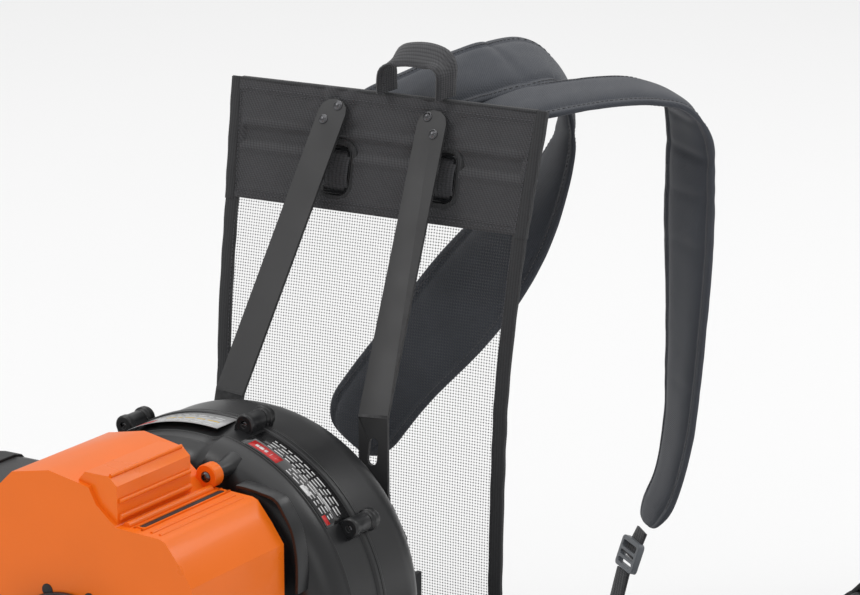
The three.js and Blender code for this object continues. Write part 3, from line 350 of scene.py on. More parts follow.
def net_finish(name, colour, pitch):
    """Open knitted net: the gaps between its threads are cut away."""
    material, tree, shader = new_material(name)
    chart = tree.node("ShaderNodeUVMap", uv_map="metres").outputs[0]
    place = tree.node("ShaderNodeTexCoord").outputs["Object"]
    holes = place_group(tree, "net", Vector=chart, Pitch=pitch)
    surface = place_group(tree, "surface_grain", Vector=place, Scale=2200.0)
    base = tree.mix(surface["Tone"], rgb(colour), rgb([c * 1.5 for c in colour]))
    tree.link(base, shader.inputs["Base Color"])
    shader.inputs["Roughness"].default_value = 0.45
    tree.link(holes["Alpha"], shader.inputs["Alpha"])
    bump = tree.node("ShaderNodeBump")
    bump.inputs["Strength"].default_value = 0.6
    bump.inputs["Distance"].default_value = 0.0005
    tree.link(holes["Height"], bump.inputs["Height"])
    tree.link(bump.outputs[0], shader.inputs["Normal"])
    return material


MATERIALS = {}


def make_materials(colours):
    for build in (grain_group, wear_group, dust_group, weave_group, net_group):
        build()
    plastic = tuple(colours.plastic)
    fabric = tuple(colours.fabric)
    made = [
        hard_finish("moulded_black", plastic, 0.42, depth=0.35),
        hard_finish("fan_black", [c * 0.6 for c in plastic], 0.32, grain=1400, depth=0.10, tone=0.15,
                    wear=0.10, dust=0.01, specular=0.55),
        hard_finish("dull_black", plastic, 0.62, depth=0.4),
        hard_finish("gloss_black", [c * 0.7 for c in plastic], 0.12, depth=0.03, coat=0.5, wear=0.1),
        hard_finish("shell_orange", tuple(colours.shell), 0.30, depth=0.04, tone=0.05, wear=0.10,
                    worn=(0.88, 0.26, 0.05), dust=0.0, coat=0.08, specular=0.25),
        hard_finish("lever_orange", [c * 0.95 for c in colours.shell], 0.35, depth=0.15, tone=0.08,
                    wear=0.2, worn=(0.9, 0.45, 0.25), dust=0.05),
        hard_finish("grey_moulding", (0.13, 0.14, 0.155), 0.4, depth=0.2, worn=(0.3, 0.3, 0.3)),
        hard_finish("tank_white", (0.56, 0.56, 0.51), 0.38, depth=0.15, tone=0.1,
                    worn=(0.7, 0.7, 0.66)),
        hard_finish("switch_red", (0.45, 0.012, 0.015), 0.35, depth=0.1, worn=(0.6, 0.2, 0.2)),
        hard_finish("hose_rubber", (0.012, 0.012, 0.012), 0.68, grain=1500, depth=0.5, dust=0.25),
        hard_finish("painted_steel", (0.028, 0.028, 0.029), 0.5, grain=1800, depth=0.25, tone=0.08,
                    worn=(0.12, 0.12, 0.125), wear=0.35, dust=0.02),
        hard_finish("bright_steel", (0.50, 0.51, 0.53), 0.26, metallic=1.0, grain=700, depth=0.1,
                    worn=(0.7, 0.7, 0.7)),
        hard_finish("dark_steel", (0.10, 0.10, 0.105), 0.25, metallic=1.0, worn=(0.4, 0.4, 0.4)),
        hard_finish("cast_aluminium", (0.44, 0.45, 0.46), 0.5, metallic=1.0, grain=1400, depth=0.6,
                    worn=(0.65, 0.65, 0.66)),
        hard_finish("filter_foam", (0.10, 0.11, 0.09), 0.95, grain=1100, depth=1.0, wear=0.0),
        hard_finish("plug_ceramic", (0.80, 0.79, 0.75), 0.18, depth=0.03, wear=0.0),
        hard_finish("bulb_clear", (0.42, 0.44, 0.42), 0.2, depth=0.05, wear=0.0, coat=0.4),
        hard_finish("label_dark", (0.006, 0.006, 0.007), 0.16, depth=0.02, wear=0.0, coat=0.7),
        hard_finish("label_pale", (0.46, 0.46, 0.46), 0.3, depth=0.02, tone=0.05, wear=0.0, coat=0.3),
        hard_finish("label_white", (0.72, 0.72, 0.72), 0.3, depth=0.02, tone=0.03, wear=0.0),
        hard_finish("label_red", (0.55, 0.02, 0.02), 0.3, depth=0.02, tone=0.05, wear=0.0),
        hard_finish("label_yellow", (0.78, 0.50, 0.03), 0.3, depth=0.02, tone=0.05, wear=0.0),
        woven_finish("pad_cloth", [c * 0.9 for c in fabric], [c * 2.3 for c in fabric], 0.0011),
        woven_finish("band_cloth", [0.014, 0.014, 0.016], [0.060, 0.060, 0.065], 0.0016, slant=0.7,
                     depth=0.9),
        woven_finish("binding_tape", [0.009, 0.009, 0.010], [0.033, 0.034, 0.037], 0.0012, slant=0.0),
        woven_finish("webbing", [0.010, 0.010, 0.012], [0.05, 0.05, 0.055], 0.0019, slant=0.0,
                     depth=1.0),
        woven_finish("thread", [0.05, 0.05, 0.055], [0.11, 0.11, 0.12], 0.0005),
        woven_finish("pull_rope", [0.42, 0.41, 0.37], [0.75, 0.73, 0.68], 0.0014, depth=1.0),
        net_finish("panel_net", (0.045, 0.046, 0.050), bpy.context.scene.blower_sizes.net_pitch),
    ]
    for material in made:
        MATERIALS[material.name] = material


# ---- making meshes ---------------------------------------------------------------------------

def smooth_line(points, steps):
    """Points of a smooth line through the stops, evenly spread between each pair of stops."""
    stops = [Vector(p) for p in points]
    stops = [stops[0] * 2 - stops[1]] + stops + [stops[-1] * 2 - stops[-2]]
    segments = len(stops) - 3
    line = []
    for i in range(steps + 1):
        at = min(i * segments / steps, segments - 1e-9)
        k = int(at)
        t = at - k
        p0, p1, p2, p3 = stops[k:k + 4]
        line.append(0.5 * (2 * p1 + (p2 - p0) * t + (2 * p0 - 5 * p1 + 4 * p2 - p3) * t * t
                           + (3 * p1 - p0 - 3 * p2 + p3) * t ** 3))
    return line


def even_line(points, pitch):
    """The same smooth line at an even pitch."""
    line = smooth_line(points, 40 * len(points))
    lengths = [0.0]
    for a, b in zip(line, line[1:]):
        lengths.append(lengths[-1] + (Vector(b[:3]) - Vector(a[:3])).length)
    count = max(2, round(lengths[-1] / pitch))
    result, k = [], 0
    for i in range(count + 1):
        target = lengths[-1] * i / count
        while k < len(lengths) - 2 and lengths[k + 1] < target:
            k += 1
        span = max(1e-9, lengths[k + 1] - lengths[k])
        result.append(line[k].lerp(line[k + 1], (target - lengths[k]) / span))
    return result, lengths[-1]


def frames_along(line, widths=None):
    """A matrix for each point of a line: X across, Y normal, Z along."""
    result, across = [], None
    for i, point in enumerate(line):
        ahead = Vector(line[min(i + 1, len(line) - 1)][:3]) - Vector(line[max(i - 1, 0)][:3])
        along = ahead.normalized()
        if widths is not None:
            across = Vector(widths[i])
        elif across is None:
            across = along.orthogonal()
        across = (across - along * across.dot(along)).normalized()
        normal = along.cross(across)
        matrix = Matrix((across, normal, along)).transposed().to_4x4()
        matrix.translation = Vector(point[:3])
        result.append(matrix)
    return result


def ring_of(bm, points, closed=True):
    """A few vertices joined in a line or a loop: the start of a spin or a sweep."""
    verts = [bm.verts.new(p) for p in points]
    pairs = list(zip(verts, verts[1:])) + ([(verts[-1], verts[0])] if closed else [])
    return verts, [bm.edges.new(pair) for pair in pairs]


def sweep(bm, section, frames, caps=True):
    """Carries a section along frames by extruding its ring from each to the next."""
    now = frames[0]
    verts, edges = ring_of(bm, [now @ Vector((u, w, 0)) for u, w in section])
    if caps:
        bmesh.ops.contextual_create(bm, geom=edges)
    for matrix in frames[1:]:
        made = bmesh.ops.extrude_edge_only(bm, edges=edges)["geom"]
        verts = [g for g in made if isinstance(g, bmesh.types.BMVert)]
        edges = [g for g in made if isinstance(g, bmesh.types.BMEdge)]
        bmesh.ops.transform(bm, matrix=matrix @ now.inverted(), verts=verts)
        now = matrix
    if caps:
        bmesh.ops.contextual_create(bm, geom=edges)


def round_section(radius, count=16):
    return [(radius * math.cos(2 * math.pi * i / count), radius * math.sin(2 * math.pi * i / count))
            for i in range(count)]


def lathe(bm, profile, matrix, steps=64, closed=True):
    """Turns (radius, height) points round the matrix's Z axis."""
    verts, edges = ring_of(bm, [(r, 0, z) for r, z in profile], closed)
    spun = bmesh.ops.spin(bm, geom=verts + edges, cent=(0, 0, 0), axis=(0, 0, 1), dvec=(0, 0, 0),
                          angle=2 * math.pi, steps=steps, use_merge=True, use_normal_flip=False)
    found = set(verts) | {g for g in spun["geom_last"] if isinstance(g, bmesh.types.BMVert)}
    todo = [v for v in found if v.is_valid]
    seen = set(todo)
    while todo:
        vert = todo.pop()
        for edge in vert.link_edges:
            other = edge.other_vert(vert)
            if other not in seen:
                seen.add(other)
                todo.append(other)
    bmesh.ops.remove_doubles(bm, verts=list(seen), dist=1e-4)
    seen = [v for v in seen if v.is_valid]
    bmesh.ops.transform(bm, matrix=matrix, verts=seen)
    return seen


AXES = {
    "x": Matrix(((0, 0, 1, 0), (1, 0, 0, 0), (0, 1, 0, 0), (0, 0, 0, 1))),
    "y": Matrix(((0, 1, 0, 0), (0, 0, 1, 0), (1, 0, 0, 0), (0, 0, 0, 1))),
    "z": Matrix.Identity(4),
}


def axis_at(axis, origin):
    return Matrix.Translation(Vector(origin)) @ AXES[axis]


def rounded_outline(u0, u1, v0, v1, radius, steps=6):
    """Corner points of a rectangle with round corners, anticlockwise."""
    result = []
    corners = [(u1, v1, 0), (u0, v1, 90), (u0, v0, 180), (u1, v0, 270)]
    for u, v, start in corners:
        cu = u - radius if u == u1 else u + radius
        cv = v - radius if v == v1 else v + radius
        for i in range(steps + 1):
            angle = math.radians(start + 90 * i / steps)
            result.append((cu + radius * math.cos(angle), cv + radius * math.sin(angle)))
    return result


def slab(bm, outline, matrix, depth):
    """A flat outline in the matrix's XY plane, extruded along its Z."""
    verts = [bm.verts.new(matrix @ Vector((u, v, 0))) for u, v in outline]
    face = bm.faces.new(verts)
    made = bmesh.ops.extrude_face_region(bm, geom=[face])["geom"]
    moved = [g for g in made if isinstance(g, bmesh.types.BMVert)]
    bmesh.ops.translate(bm, vec=matrix.to_3x3() @ Vector((0, 0, depth)), verts=moved)
    return verts + moved


def box(bm, low, high):
    size = Vector(high) - Vector(low)
    centre = (Vector(high) + Vector(low)) / 2
    made = bmesh.ops.create_cube(bm, size=1.0)["verts"]
    bmesh.ops.transform(bm, verts=made,
                        matrix=Matrix.Translation(centre) @ Matrix.Diagonal((*size, 1)))
    return made


def chart_metres(mesh, how=None):
    """The piece's own map in metres: a given chart, or the face's own plane."""
    layer = mesh.uv_layers.new(name="metres")
    for polygon in mesh.polygons:
        axis = max(range(3), key=lambda k: abs(polygon.normal[k]))
        for loop in polygon.loop_indices:
            co = mesh.vertices[mesh.loops[loop].vertex_index].co
            if how is not None:
                layer.data[loop].uv = how(co)
            else:
                layer.data[loop].uv = [(co.y, co.z), (co.x, co.z), (co.x, co.y)][axis]


def finish_piece(name, bm, material, body="root", replaces=None, sharp=35, bevel=0.0,
                 segments=2, subsurf=0, thickness=0.0, chart=None, join=True, blend=None,
                 recalculate=True):
    """Turns a bmesh in millimetres into a finished piece that rides on its body; given blend, the piece is baked
    in place and rides on no body.
    """
    if join:
        bmesh.ops.remove_doubles(bm, verts=bm.verts, dist=0.01)
    if recalculate:
        bmesh.ops.recalc_face_normals(bm, faces=bm.faces)
    bmesh.ops.scale(bm, vec=(MM, MM, MM), verts=bm.verts)
    mesh = bpy.data.meshes.new(name)
    bm.to_mesh(mesh)
    bm.free()
    mesh.materials.append(MATERIALS[material])
    mesh.shade_smooth()
    if sharp < 180:
        mesh.set_sharp_from_angle(angle=math.radians(sharp))
    chart_metres(mesh, chart)
    piece = bpy.data.objects.new(name, mesh)
    bpy.context.scene.collection.objects.link(piece)
    if thickness:
        wall = piece.modifiers.new("wall", "SOLIDIFY")
        wall.thickness = thickness * MM
        wall.offset = 0
    if bevel:
        edge = piece.modifiers.new("edges", "BEVEL")
        edge.width = bevel * MM
        edge.segments = segments
        edge.limit_method = "ANGLE"
        edge.angle_limit = math.radians(32)
        edge.harden_normals = True
    if subsurf:
        soft = piece.modifiers.new("soft", "SUBSURF")
        soft.levels = soft.render_levels = subsurf
    if blend:
        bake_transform(piece)
    else:
        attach(piece, body)
    if replaces:
        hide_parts(replaces)
    return piece


def refined(node, material, body, bevel=1.0, segments=2, extra=None, sharp=34):
    """A copy of a CAD node with merged corners and rounded edges, which stands for the node."""
    bm = bmesh.new()
    bm.from_mesh(NODES[node].data)
    bmesh.ops.scale(bm, vec=(1 / MM,) * 3, verts=bm.verts)
    bmesh.ops.remove_doubles(bm, verts=bm.verts, dist=0.01)
    bmesh.ops.dissolve_limit(bm, angle_limit=math.radians(2), verts=bm.verts, edges=bm.edges)
    if extra:
        extra(bm)
    return finish_piece(node + "_shell", bm, material, body, node, bevel=bevel,
                        segments=segments, sharp=sharp, join=False, recalculate=False)


def keep_node(node, material):
    """Gives a CAD node its procedural finish."""
    mesh = NODES[node].data
    mesh.materials.clear()
    mesh.materials.append(MATERIALS[material])
    chart_metres(mesh)


# ---- shared shapes ---------------------------------------------------------------------------

STITCH_WIDTH, STITCH_SHARE = 0.55, 0.68


def dome_screw(bm, matrix, radius, height):
    """A domed screw head with a socket, standing on the matrix's XY plane."""
    profile = [(0.001, height * 0.35), (radius * 0.42, height * 0.35), (radius * 0.5, height * 0.95),
               (radius * 0.8, height * 0.72), (radius, height * 0.25), (radius, 0), (0.001, 0)]
    lathe(bm, profile, matrix, 20, closed=False)


def stitch_row(bm, points, normals, pitch, side=1):
    """Short raised stitches along a line of points."""
    line, _ = even_line(points, pitch / 2)
    for i in range(0, len(line) - 2, 2):
        a, b = Vector(line[i][:3]), Vector(line[i + 1][:3])
        along = (b - a).normalized()
        normal = Vector(normals(a)).normalized() * side
        across = along.cross(normal).normalized()
        centre = a.lerp(b, 0.6) + normal * 0.1
        matrix = Matrix((across, along, normal)).transposed().to_4x4()
        matrix.translation = centre
        verts = bmesh.ops.create_cube(bm, size=1.0)["verts"]
        bmesh.ops.scale(bm, vec=(STITCH_WIDTH, pitch * STITCH_SHARE, STITCH_WIDTH), verts=verts)
        ends = [v for v in verts if v.co.z > 0]
        bmesh.ops.scale(bm, vec=(0.5, 0.75, 1), verts=ends)
        bmesh.ops.transform(bm, matrix=matrix, verts=verts)


def flat_tape(width, thickness):
    """Section of a woven tape with rounded edges."""
    w, t = width / 2, thickness / 2
    return [(-w, 0), (-w + t * 0.6, t), (-w * 0.5, t), (0, t), (w * 0.5, t), (w - t * 0.6, t), (w, 0),
            (w - t * 0.6, -t), (w * 0.5, -t), (0, -t), (-w * 0.5, -t), (-w + t * 0.6, -t)]


def ribbon(bm, stops, section, pitch=6.0, shape=None):
    """A strip through stops of a point and the direction across it. shape scales it along its way."""
    places, total = even_line(stops, pitch)
    frames = frames_along(places, [p[3:6] for p in places])
    if shape:
        last = len(frames) - 1
        frames = [m @ Matrix.Diagonal((*shape(i / last, total), 1, 1)) for i, m in enumerate(frames)]
    sweep(bm, section, frames)
    return total


def tube(bm, points, radius, pitch=6.0, count=14):
    places, _ = even_line(points, pitch)
    sweep(bm, round_section(radius, count), frames_along(places))


def lance_point(x, s, z):
    return LANCE @ Vector((x, s, z))


def metres(point):
    return tuple(c * MM for c in point)


# Two points on the lance axis for each half of the hose, at either end of its bend; finish_piece bakes that half
# straight in place.
REAR_BEND = [metres(lance_point(0, s, 0)) for s in (26, 118)]
FRONT_BEND = [metres(lance_point(0, s, 0)) for s in (132, 222)]


# ---- the fan housing -------------------------------------------------------------------------

RIM_RADIUS, SCROLL_RISE = 154, 8
LUG_ANGLES = [32.5 + 45 * i for i in range(8) if not 250 <= 32.5 + 45 * i <= 320]


def scroll_growth(degrees):
    """How far the scroll's rim stands out at an angle."""
    turn = (degrees + 450) % 360
    growing = min(1.0, max(0.0, (turn - 180) / 180))
    closing = min(1.0, max(0.0, 1 - turn / 40))
    return SCROLL_RISE * max(growing, closing)


def polar(vert):
    dx, dz = vert.co.x - CRANK.x, vert.co.z - CRANK.z
    return math.hypot(dx, dz), math.degrees(math.atan2(dz, dx)) % 360


def to_radius(vert, radius):
    now, _ = polar(vert)
    vert.co.x = CRANK.x + (vert.co.x - CRANK.x) * radius / now
    vert.co.z = CRANK.z + (vert.co.z - CRANK.z) * radius / now


def swell_scroll(verts):
    """Widens a turned shell into the scroll, from its hub outwards."""
    for vert in verts:
        radius, angle = polar(vert)
        if radius > 30:
            share = min(1.0, (radius - 30) / 90)
            to_radius(vert, radius + scroll_growth(angle) * share)


def rounding(centre, radii, start, end, steps):
    """Points of a quarter of an ellipse, as (radius, height) pairs."""
    result = []
    for i in range(steps + 1):
        angle = math.radians(start + (end - start) * i / steps)
        result.append((centre[0] + radii[0] * math.cos(angle),
                       centre[1] + radii[1] * math.sin(angle)))
    return result


def scroll_point(degrees, radius_extra, y):
    angle = math.radians(degrees)
    radius = RIM_RADIUS + scroll_growth(degrees) + radius_extra
    return Vector((CRANK.x + radius * math.cos(angle), y, CRANK.z + radius * math.sin(angle)))


def front_half(context):
    bm = bmesh.new()
    rim = context.scene.blower_sizes.fan_radius / MM
    outer = [(24.3, -62), (60, -62), (62, -61), (100, -61), (102, -62), (118, -62)]
    outer += rounding((rim - 26, -36), (26, 26), -90, -6, 9)
    outer += [(rim + 0.3, -34.6), (rim + 1.6, -34), (rim + 1.6, -32.6), (rim + 0.4, -32)]
    outer += [(rim + 0.4, 3.4), (rim + 1.6, 4), (rim + 2.2, 4.6), (rim + 2.2, 8.6)]
    inner = [(rim - 3, 8.6), (rim - 3, -36)]
    inner += rounding((rim - 26, -36), (23, 23), 0, -90, 6) + [(24.3, -59)]
    verts = lathe(bm, outer + inner, axis_at("y", CRANK), 160)
    for vert in verts:
        radius, angle = polar(vert)
        # the shoulder steps down past the top lug, all the way round to the duct
        if 80 < angle < 262 and vert.co.y < -31 and radius > 112:
            drop = min(1.0, (angle - 80) / 1.5) * min(1.0, (radius - 112) / 26)
            to_radius(vert, radius - 5.5 * drop)
            if vert.co.y < -45:
                vert.co.y += 2.5 * drop
    swell_scroll(verts)
    for angle in LUG_ANGLES:
        place = scroll_point(angle, 6.2, -13.5)
        lathe(bm, [(2.8, 0), (7.2, 0), (8.4, 1.2), (8.4, 6), (7.6, 7.5), (7.6, 22), (2.8, 22)],
              axis_at("y", place), 32)
        root = scroll_point(angle, -1.5, -13.0)
        web = box(bm, (-8.4, 0, -5), (8.4, 6.4, 7.5)) + box(bm, (-7.4, 6, -5), (7.4, 21.4, 7))
        turn = Matrix.Rotation(math.radians(90 - angle), 4, "Y")
        bmesh.ops.transform(bm, matrix=Matrix.Translation(root) @ turn, verts=web)
    for x, z in ((40, 326), (-70, 300)):
        lathe(bm, [(2.2, 0), (6.4, 0), (7, 0.8), (7, 12), (8.6, 20), (11, 27), (2.2, 27)],
              axis_at("y", (x, -74, z)), 32)
    right_wall = [(117.5, 240), (118, 256), (117.2, 272), (113.4, 290), (106, 303), (97.5, 313.5),
                  (84, 316.6), (70, 318.4), (61, 318.2)]
    left_wall = [(-102.5, 240), (-102.5, 261)]
    section = [(-7.3, 1.4), (-6.4, 1.7), (6.8, 1.7), (6.8, -1.7), (-6.4, -1.7), (-7.3, -1.4)]
    for path in (right_wall, left_wall):
        ribbon(bm, [(x, -66.5, z, 0, 1, 0) for x, z in path], section, 4.0)
    for low, high in (((-112, -5, 28), (-82, 8.6, 92)), ((80, -5, 28), (110, 8.6, 62))):
        box(bm, low, high)
    finish_piece("volute_front_shell", bm, "fan_black", "root", "volute_front",
                 sharp=30, bevel=0.7)


def rear_half(context):
    bm = bmesh.new()
    rim = context.scene.blower_sizes.fan_radius / MM
    outer = [(rim - 3, 9.2), (rim + 2.2, 9.2), (rim + 2.2, 12.4), (rim + 1.4, 13.2),
             (rim + 0.2, 13.8),
             (rim, 46)]
    outer += rounding((rim - 38, 48), (38, 38), 4, 90, 12)
    outer += [(92, 86), (90, 84.5), (84, 84.5), (80, 85)]
    inner = [(80, 82.5), (rim - 38, 82.5)] + rounding((rim - 38, 48), (35, 34.5), 90, 0, 8)
    verts = lathe(bm, outer + inner, axis_at("y", CRANK), 160)
    swell_scroll(verts)
    for angle in LUG_ANGLES:
        place = scroll_point(angle, 6.2, 9.3)
        lathe(bm, [(2.6, 0), (7.6, 0), (7.6, 2), (9.4, 3), (9.4, 8), (8.2, 10.6), (2.6, 10.6)],
              axis_at("y", place), 32)
        web = box(bm, (-8, 0, -6), (8, 10, 6))
        turn = Matrix.Rotation(math.radians(90 - angle), 4, "Y")
        root = scroll_point(angle, -1.5, 9.3)
        bmesh.ops.transform(bm, matrix=Matrix.Translation(root) @ turn, verts=web)
    duct = lathe(bm, [(40, 2), (40, 144), (46, 146), (46, 158), (37, 158), (37, 2)],
                 axis_at("x", (-8, 20, 70)), 64)
    geom = duct + list({e for v in duct for e in v.link_edges})
    geom += list({f for v in duct for f in v.link_faces})
    cut = bmesh.ops.bisect_plane(bm, geom=geom, plane_co=(110, 20, 108), plane_no=(-0.52, 0, 0.854),
                                 clear_outer=True)["geom_cut"]
    loops = [g for g in cut if isinstance(g, bmesh.types.BMEdge)]
    if len(loops) > 2:
        bmesh.ops.bridge_loops(bm, edges=loops)
    for low, high in (((-112, 9.3, 28), (-82, 45, 92)), ((80, 9.3, 28), (110, 45, 62))):
        box(bm, low, high)
    for i in range(4):
        angle = math.radians(45 + 90 * i)
        bolt = Vector((145, 20 + 43 * math.cos(angle), 70 + 43 * math.sin(angle)))
        lathe(bm, [(0.001, 0), (3.4, 0), (3.4, 3), (0.001, 3)], axis_at("x", bolt), 6, closed=False)
    finish_piece("volute_rear_shell", bm, "fan_black", "root", "volute_rear",
                 sharp=30, bevel=0.7)


def label_patch(bm, start, end, y0, y1, lift):
    """A thin patch on the rim between two angles, following the scroll."""
    steps = max(1, round(abs(end - start) / 1.5))
    first = [scroll_point(start, lift, y) for y in (y0, y1)]
    _, edges = ring_of(bm, first, closed=False)
    for i in range(1, steps + 1):
        angle = start + (end - start) * i / steps
        made = bmesh.ops.extrude_edge_only(bm, edges=edges)["geom"]
        edges = [g for g in made if isinstance(g, bmesh.types.BMEdge)]
        for vert in (g for g in made if isinstance(g, bmesh.types.BMVert)):
            vert.co = scroll_point(angle, lift, vert.co.y)


def fan_labels():
    """Blank stickers on the rim, with plain bars and blocks instead of words."""
    draw = random.Random(7)
    plates = [("warning_plate_dark", "label_dark", 35.5, 73.5, -31.0, 2.6),
              ("warning_plate_pale", "label_pale", 83.5, 118, -26.0, 2.6)]
    for name, material, start, end, y0, y1 in plates:
        bm = bmesh.new()
        label_patch(bm, start, end, y0, y1, 0.75)
        finish_piece(name, bm, material, "root", sharp=60, thickness=0.3)
    bars = {"label_white": [], "label_red": [], "label_yellow": []}
    # rows of short bars on the dark plate
    for row in range(7):
        y = -27 + row * 3.9
        at = 37.5 if row % 3 else 40.0
        stop = 57.0 if row < 3 else 68.0
        while at < stop:
            size = draw.uniform(1.2, 4.0)
            bars["label_white"].append((at, min(at + size, stop), y, y + 1.25))
            at += size + 0.8
    bars["label_red"].append((60.5, 71.5, -28.5, -18.0))
    bars["label_red"].append((36.2, 39.4, -29.5, -24.5))
    bars["label_white"].append((62.0, 64.0, -25.5, -21.0))
    bars["label_white"].append((65.4, 69.8, -25.0, -21.5))
    bars["label_white"].append((46.5, 50.5, -28.5, -23.0))
    for row in range(5):
        y = -23 + row * 4.4
        at = 86.0
        while at < 106:
            size = draw.uniform(1.5, 4.5)
            bars["label_yellow" if row == 2 else "label_white"].append((at, at + size, y, y + 1.4))
            at += size + 0.9
    bars["label_red"].append((108.5, 115, -23, -15))
    for name, patches in bars.items():
        bm = bmesh.new()
        for start, end, y0, y1 in patches:
            label_patch(bm, start, end, y0, y1, 1.0)
        finish_piece("print_" + name.split("_")[1], bm, name, "root", sharp=60,
                     thickness=0.12)


def fan_screws():
    bm = bmesh.new()
    facing = Matrix.Rotation(math.pi, 4, "X")
    for angle in LUG_ANGLES:
        dome_screw(bm, axis_at("y", scroll_point(angle, 6.2, -11.6)) @ facing, 2.7, 1.2)
    dome_screw(bm, axis_at("y", (40, -84.2, 326)) @ facing, 4.4, 3.0)
    finish_piece("housing_screws", bm, "dark_steel", "root", sharp=40)


# ---- engine cover ----------------------------------------------------------------------------

def cover_details(bm):
    """Long beads, a lipped slot and a ring lug on the cover's top."""
    for x, z, size in ((44.5, 317.0, 3.4), (67.5, 315.4, 1.5), (75.5, 314.8, 1.5)):
        tube(bm, [(x, y, z) for y in (-85, -140, -193)], size, 20)
    for x, z, size in ((38.8, 336.0, 1.8), (38.6, 323.5, 2.6), (31, 355.0, 1.6)):
        tube(bm, [(x, y, z) for y in (-104, -150, -194)], size, 20)
    slot = rounded_outline(51, 59, -190, -82, 3.9)
    stops = [(x, y, 316.4, 0, 0, 1) for x, y in slot + slot[:2]]
    ribbon(bm, stops, [(-0.9, 0.8), (0.9, 0.8), (0.9, -0.8), (-0.9, -0.8)], 2.5)
    lathe(bm, [(4.6, 0), (9.2, 0), (10, 1), (10, 9), (4.6, 9)], axis_at("y", (40, -84.8, 326)), 40)


def paint_cover_opening_shade():
    """Painted shade: a thin dark sheet in the slot on the cover's top and thin dark discs on the round holes in
    its end.
    """
    bm = bmesh.new()
    # painted shade: this dark sheet stands for the shaded inside of the slot
    slab(bm, rounded_outline(52, 58, -189, -83, 3), Matrix.Translation((0, 0, 316.2)), 0.45)
    # painted shade: these dark discs stand for the shaded insides of the round holes
    for k in range(10):
        angle = math.radians(36 * k)
        x, z = CRANK.x + 66 * math.cos(angle), CRANK.z + 66 * math.sin(angle)
        if z > 215:
            lathe(bm, [(0.001, 0), (5, 0), (5, 0.5), (0.001, 0.5)], axis_at("y", (x, -200.6, z)), 20,
                  closed=False)
    finish_piece("cover_openings_painted_shade", bm, "dull_black", "root")


# ---- back frame, band and net ----------------------------------------------------------------

PANEL_LINE = [(100, 190), (176, 190), (270, 193.5), (356, 200), (420, 210), (476, 221), (576, 243)]
PANEL_POINTS = smooth_line([(y, z, 0) for z, y in PANEL_LINE], 120)
PANEL_BOTTOM, BAND_BOTTOM, PANEL_TOP = 110, 472.3, 576
BUCKLES = {"left": (-41, 506), "right": (65, 511)}
WINDOW_HALF_WIDTH, WINDOW_HALF_HEIGHT, WINDOW_CORNER = 17, 24, 13
STAY_TOP, STAY_SPLAY = 556, 0.0987
CHANNEL_HEIGHT, CHANNEL_HALF, RIDGE_HALF = 527, 8, 14
RIVETS = [(-42.2, 562.3), (-53.3, 550.4), (48.9, 561.8), (58.7, 548.9)]


def panel_depth(height):
    """How far back the panel lies at a height."""
    for low, high in zip(PANEL_POINTS, PANEL_POINTS[1:]):
        if low.y <= height <= high.y:
            return low.x + (high.x - low.x) * (height - low.y) / (high.y - low.y)
    return PANEL_POINTS[0].x if height < PANEL_POINTS[0].y else PANEL_POINTS[-1].x


def panel_half(height):
    """Half of the panel's width at a height."""
    low = min(1.0, max(0.0, (height - 330) / 146))
    high = min(1.0, max(0.0, (height - 476) / 100))
    return 147.5 + 4.5 * low + 6.5 * high


def panel_normal(point):
    slope = (panel_depth(point.z + 3) - panel_depth(point.z - 3)) / 6
    return Vector((0, -1, slope)).normalized()


def sheet_grid(bm, bottom, top, columns, rows, inset=0.0):
    """A grid on the panel's surface between two heights."""
    verts = bmesh.ops.create_grid(bm, x_segments=columns, y_segments=rows, size=0.5)["verts"]
    for vert in verts:
        height = bottom + (vert.co.y + 0.5) * (top - bottom)
        half = panel_half(height) - inset
        vert.co = (vert.co.x * 2 * half, panel_depth(height), height)
    return verts


def stay_x(height, side):
    return side * (50.5 + (STAY_TOP - height) * STAY_SPLAY)


def band_relief(x, z):
    """How far the band's cloth stands off its sheet: hems, the channel and puckers."""
    lift = 0.0
    off = abs(z - CHANNEL_HEIGHT)
    if abs(x) < 143 and off < CHANNEL_HALF:
        lift -= 2.6 * min(1.0, (CHANNEL_HALF - off) / 2.2)
    elif abs(x) < 143 and off < RIDGE_HALF:
        lift += 1.3 * math.sin(math.pi * (off - CHANNEL_HALF) / (RIDGE_HALF - CHANNEL_HALF))
    if z > 564:
        lift += 0.7 * min(1.0, (z - 564) / 2)
    if z < 484:
        lift += 0.5 * min(1.0, (484 - z) / 2)
    for side in (-1, 1):
        sx = stay_x(548, side)
        reach = math.hypot(x - sx, (z - 545) * 0.8)
        if 12 < reach < 46:
            angle = math.atan2(z - 545, x - sx)
            lift += 0.8 * math.sin(angle * 9 + side) * math.exp(-((reach - 22) / 13) ** 2)
    lift += 0.9 * noise.noise(Vector((x * 0.02, z * 0.02, 3.0)))
    lift += 0.25 * noise.noise(Vector((x * 0.09, z * 0.09, 9.0)))
    return lift


def window_distance(x, z, spot):
    """Signed distance from a window's rounded outline: negative inside it."""
    dx = abs(x - spot[0]) - (WINDOW_HALF_WIDTH - WINDOW_CORNER)
    dz = abs(z - spot[1]) - (WINDOW_HALF_HEIGHT - WINDOW_CORNER)
    outside = math.hypot(max(dx, 0), max(dz, 0))
    return outside + min(max(dx, dz), 0) - WINDOW_CORNER


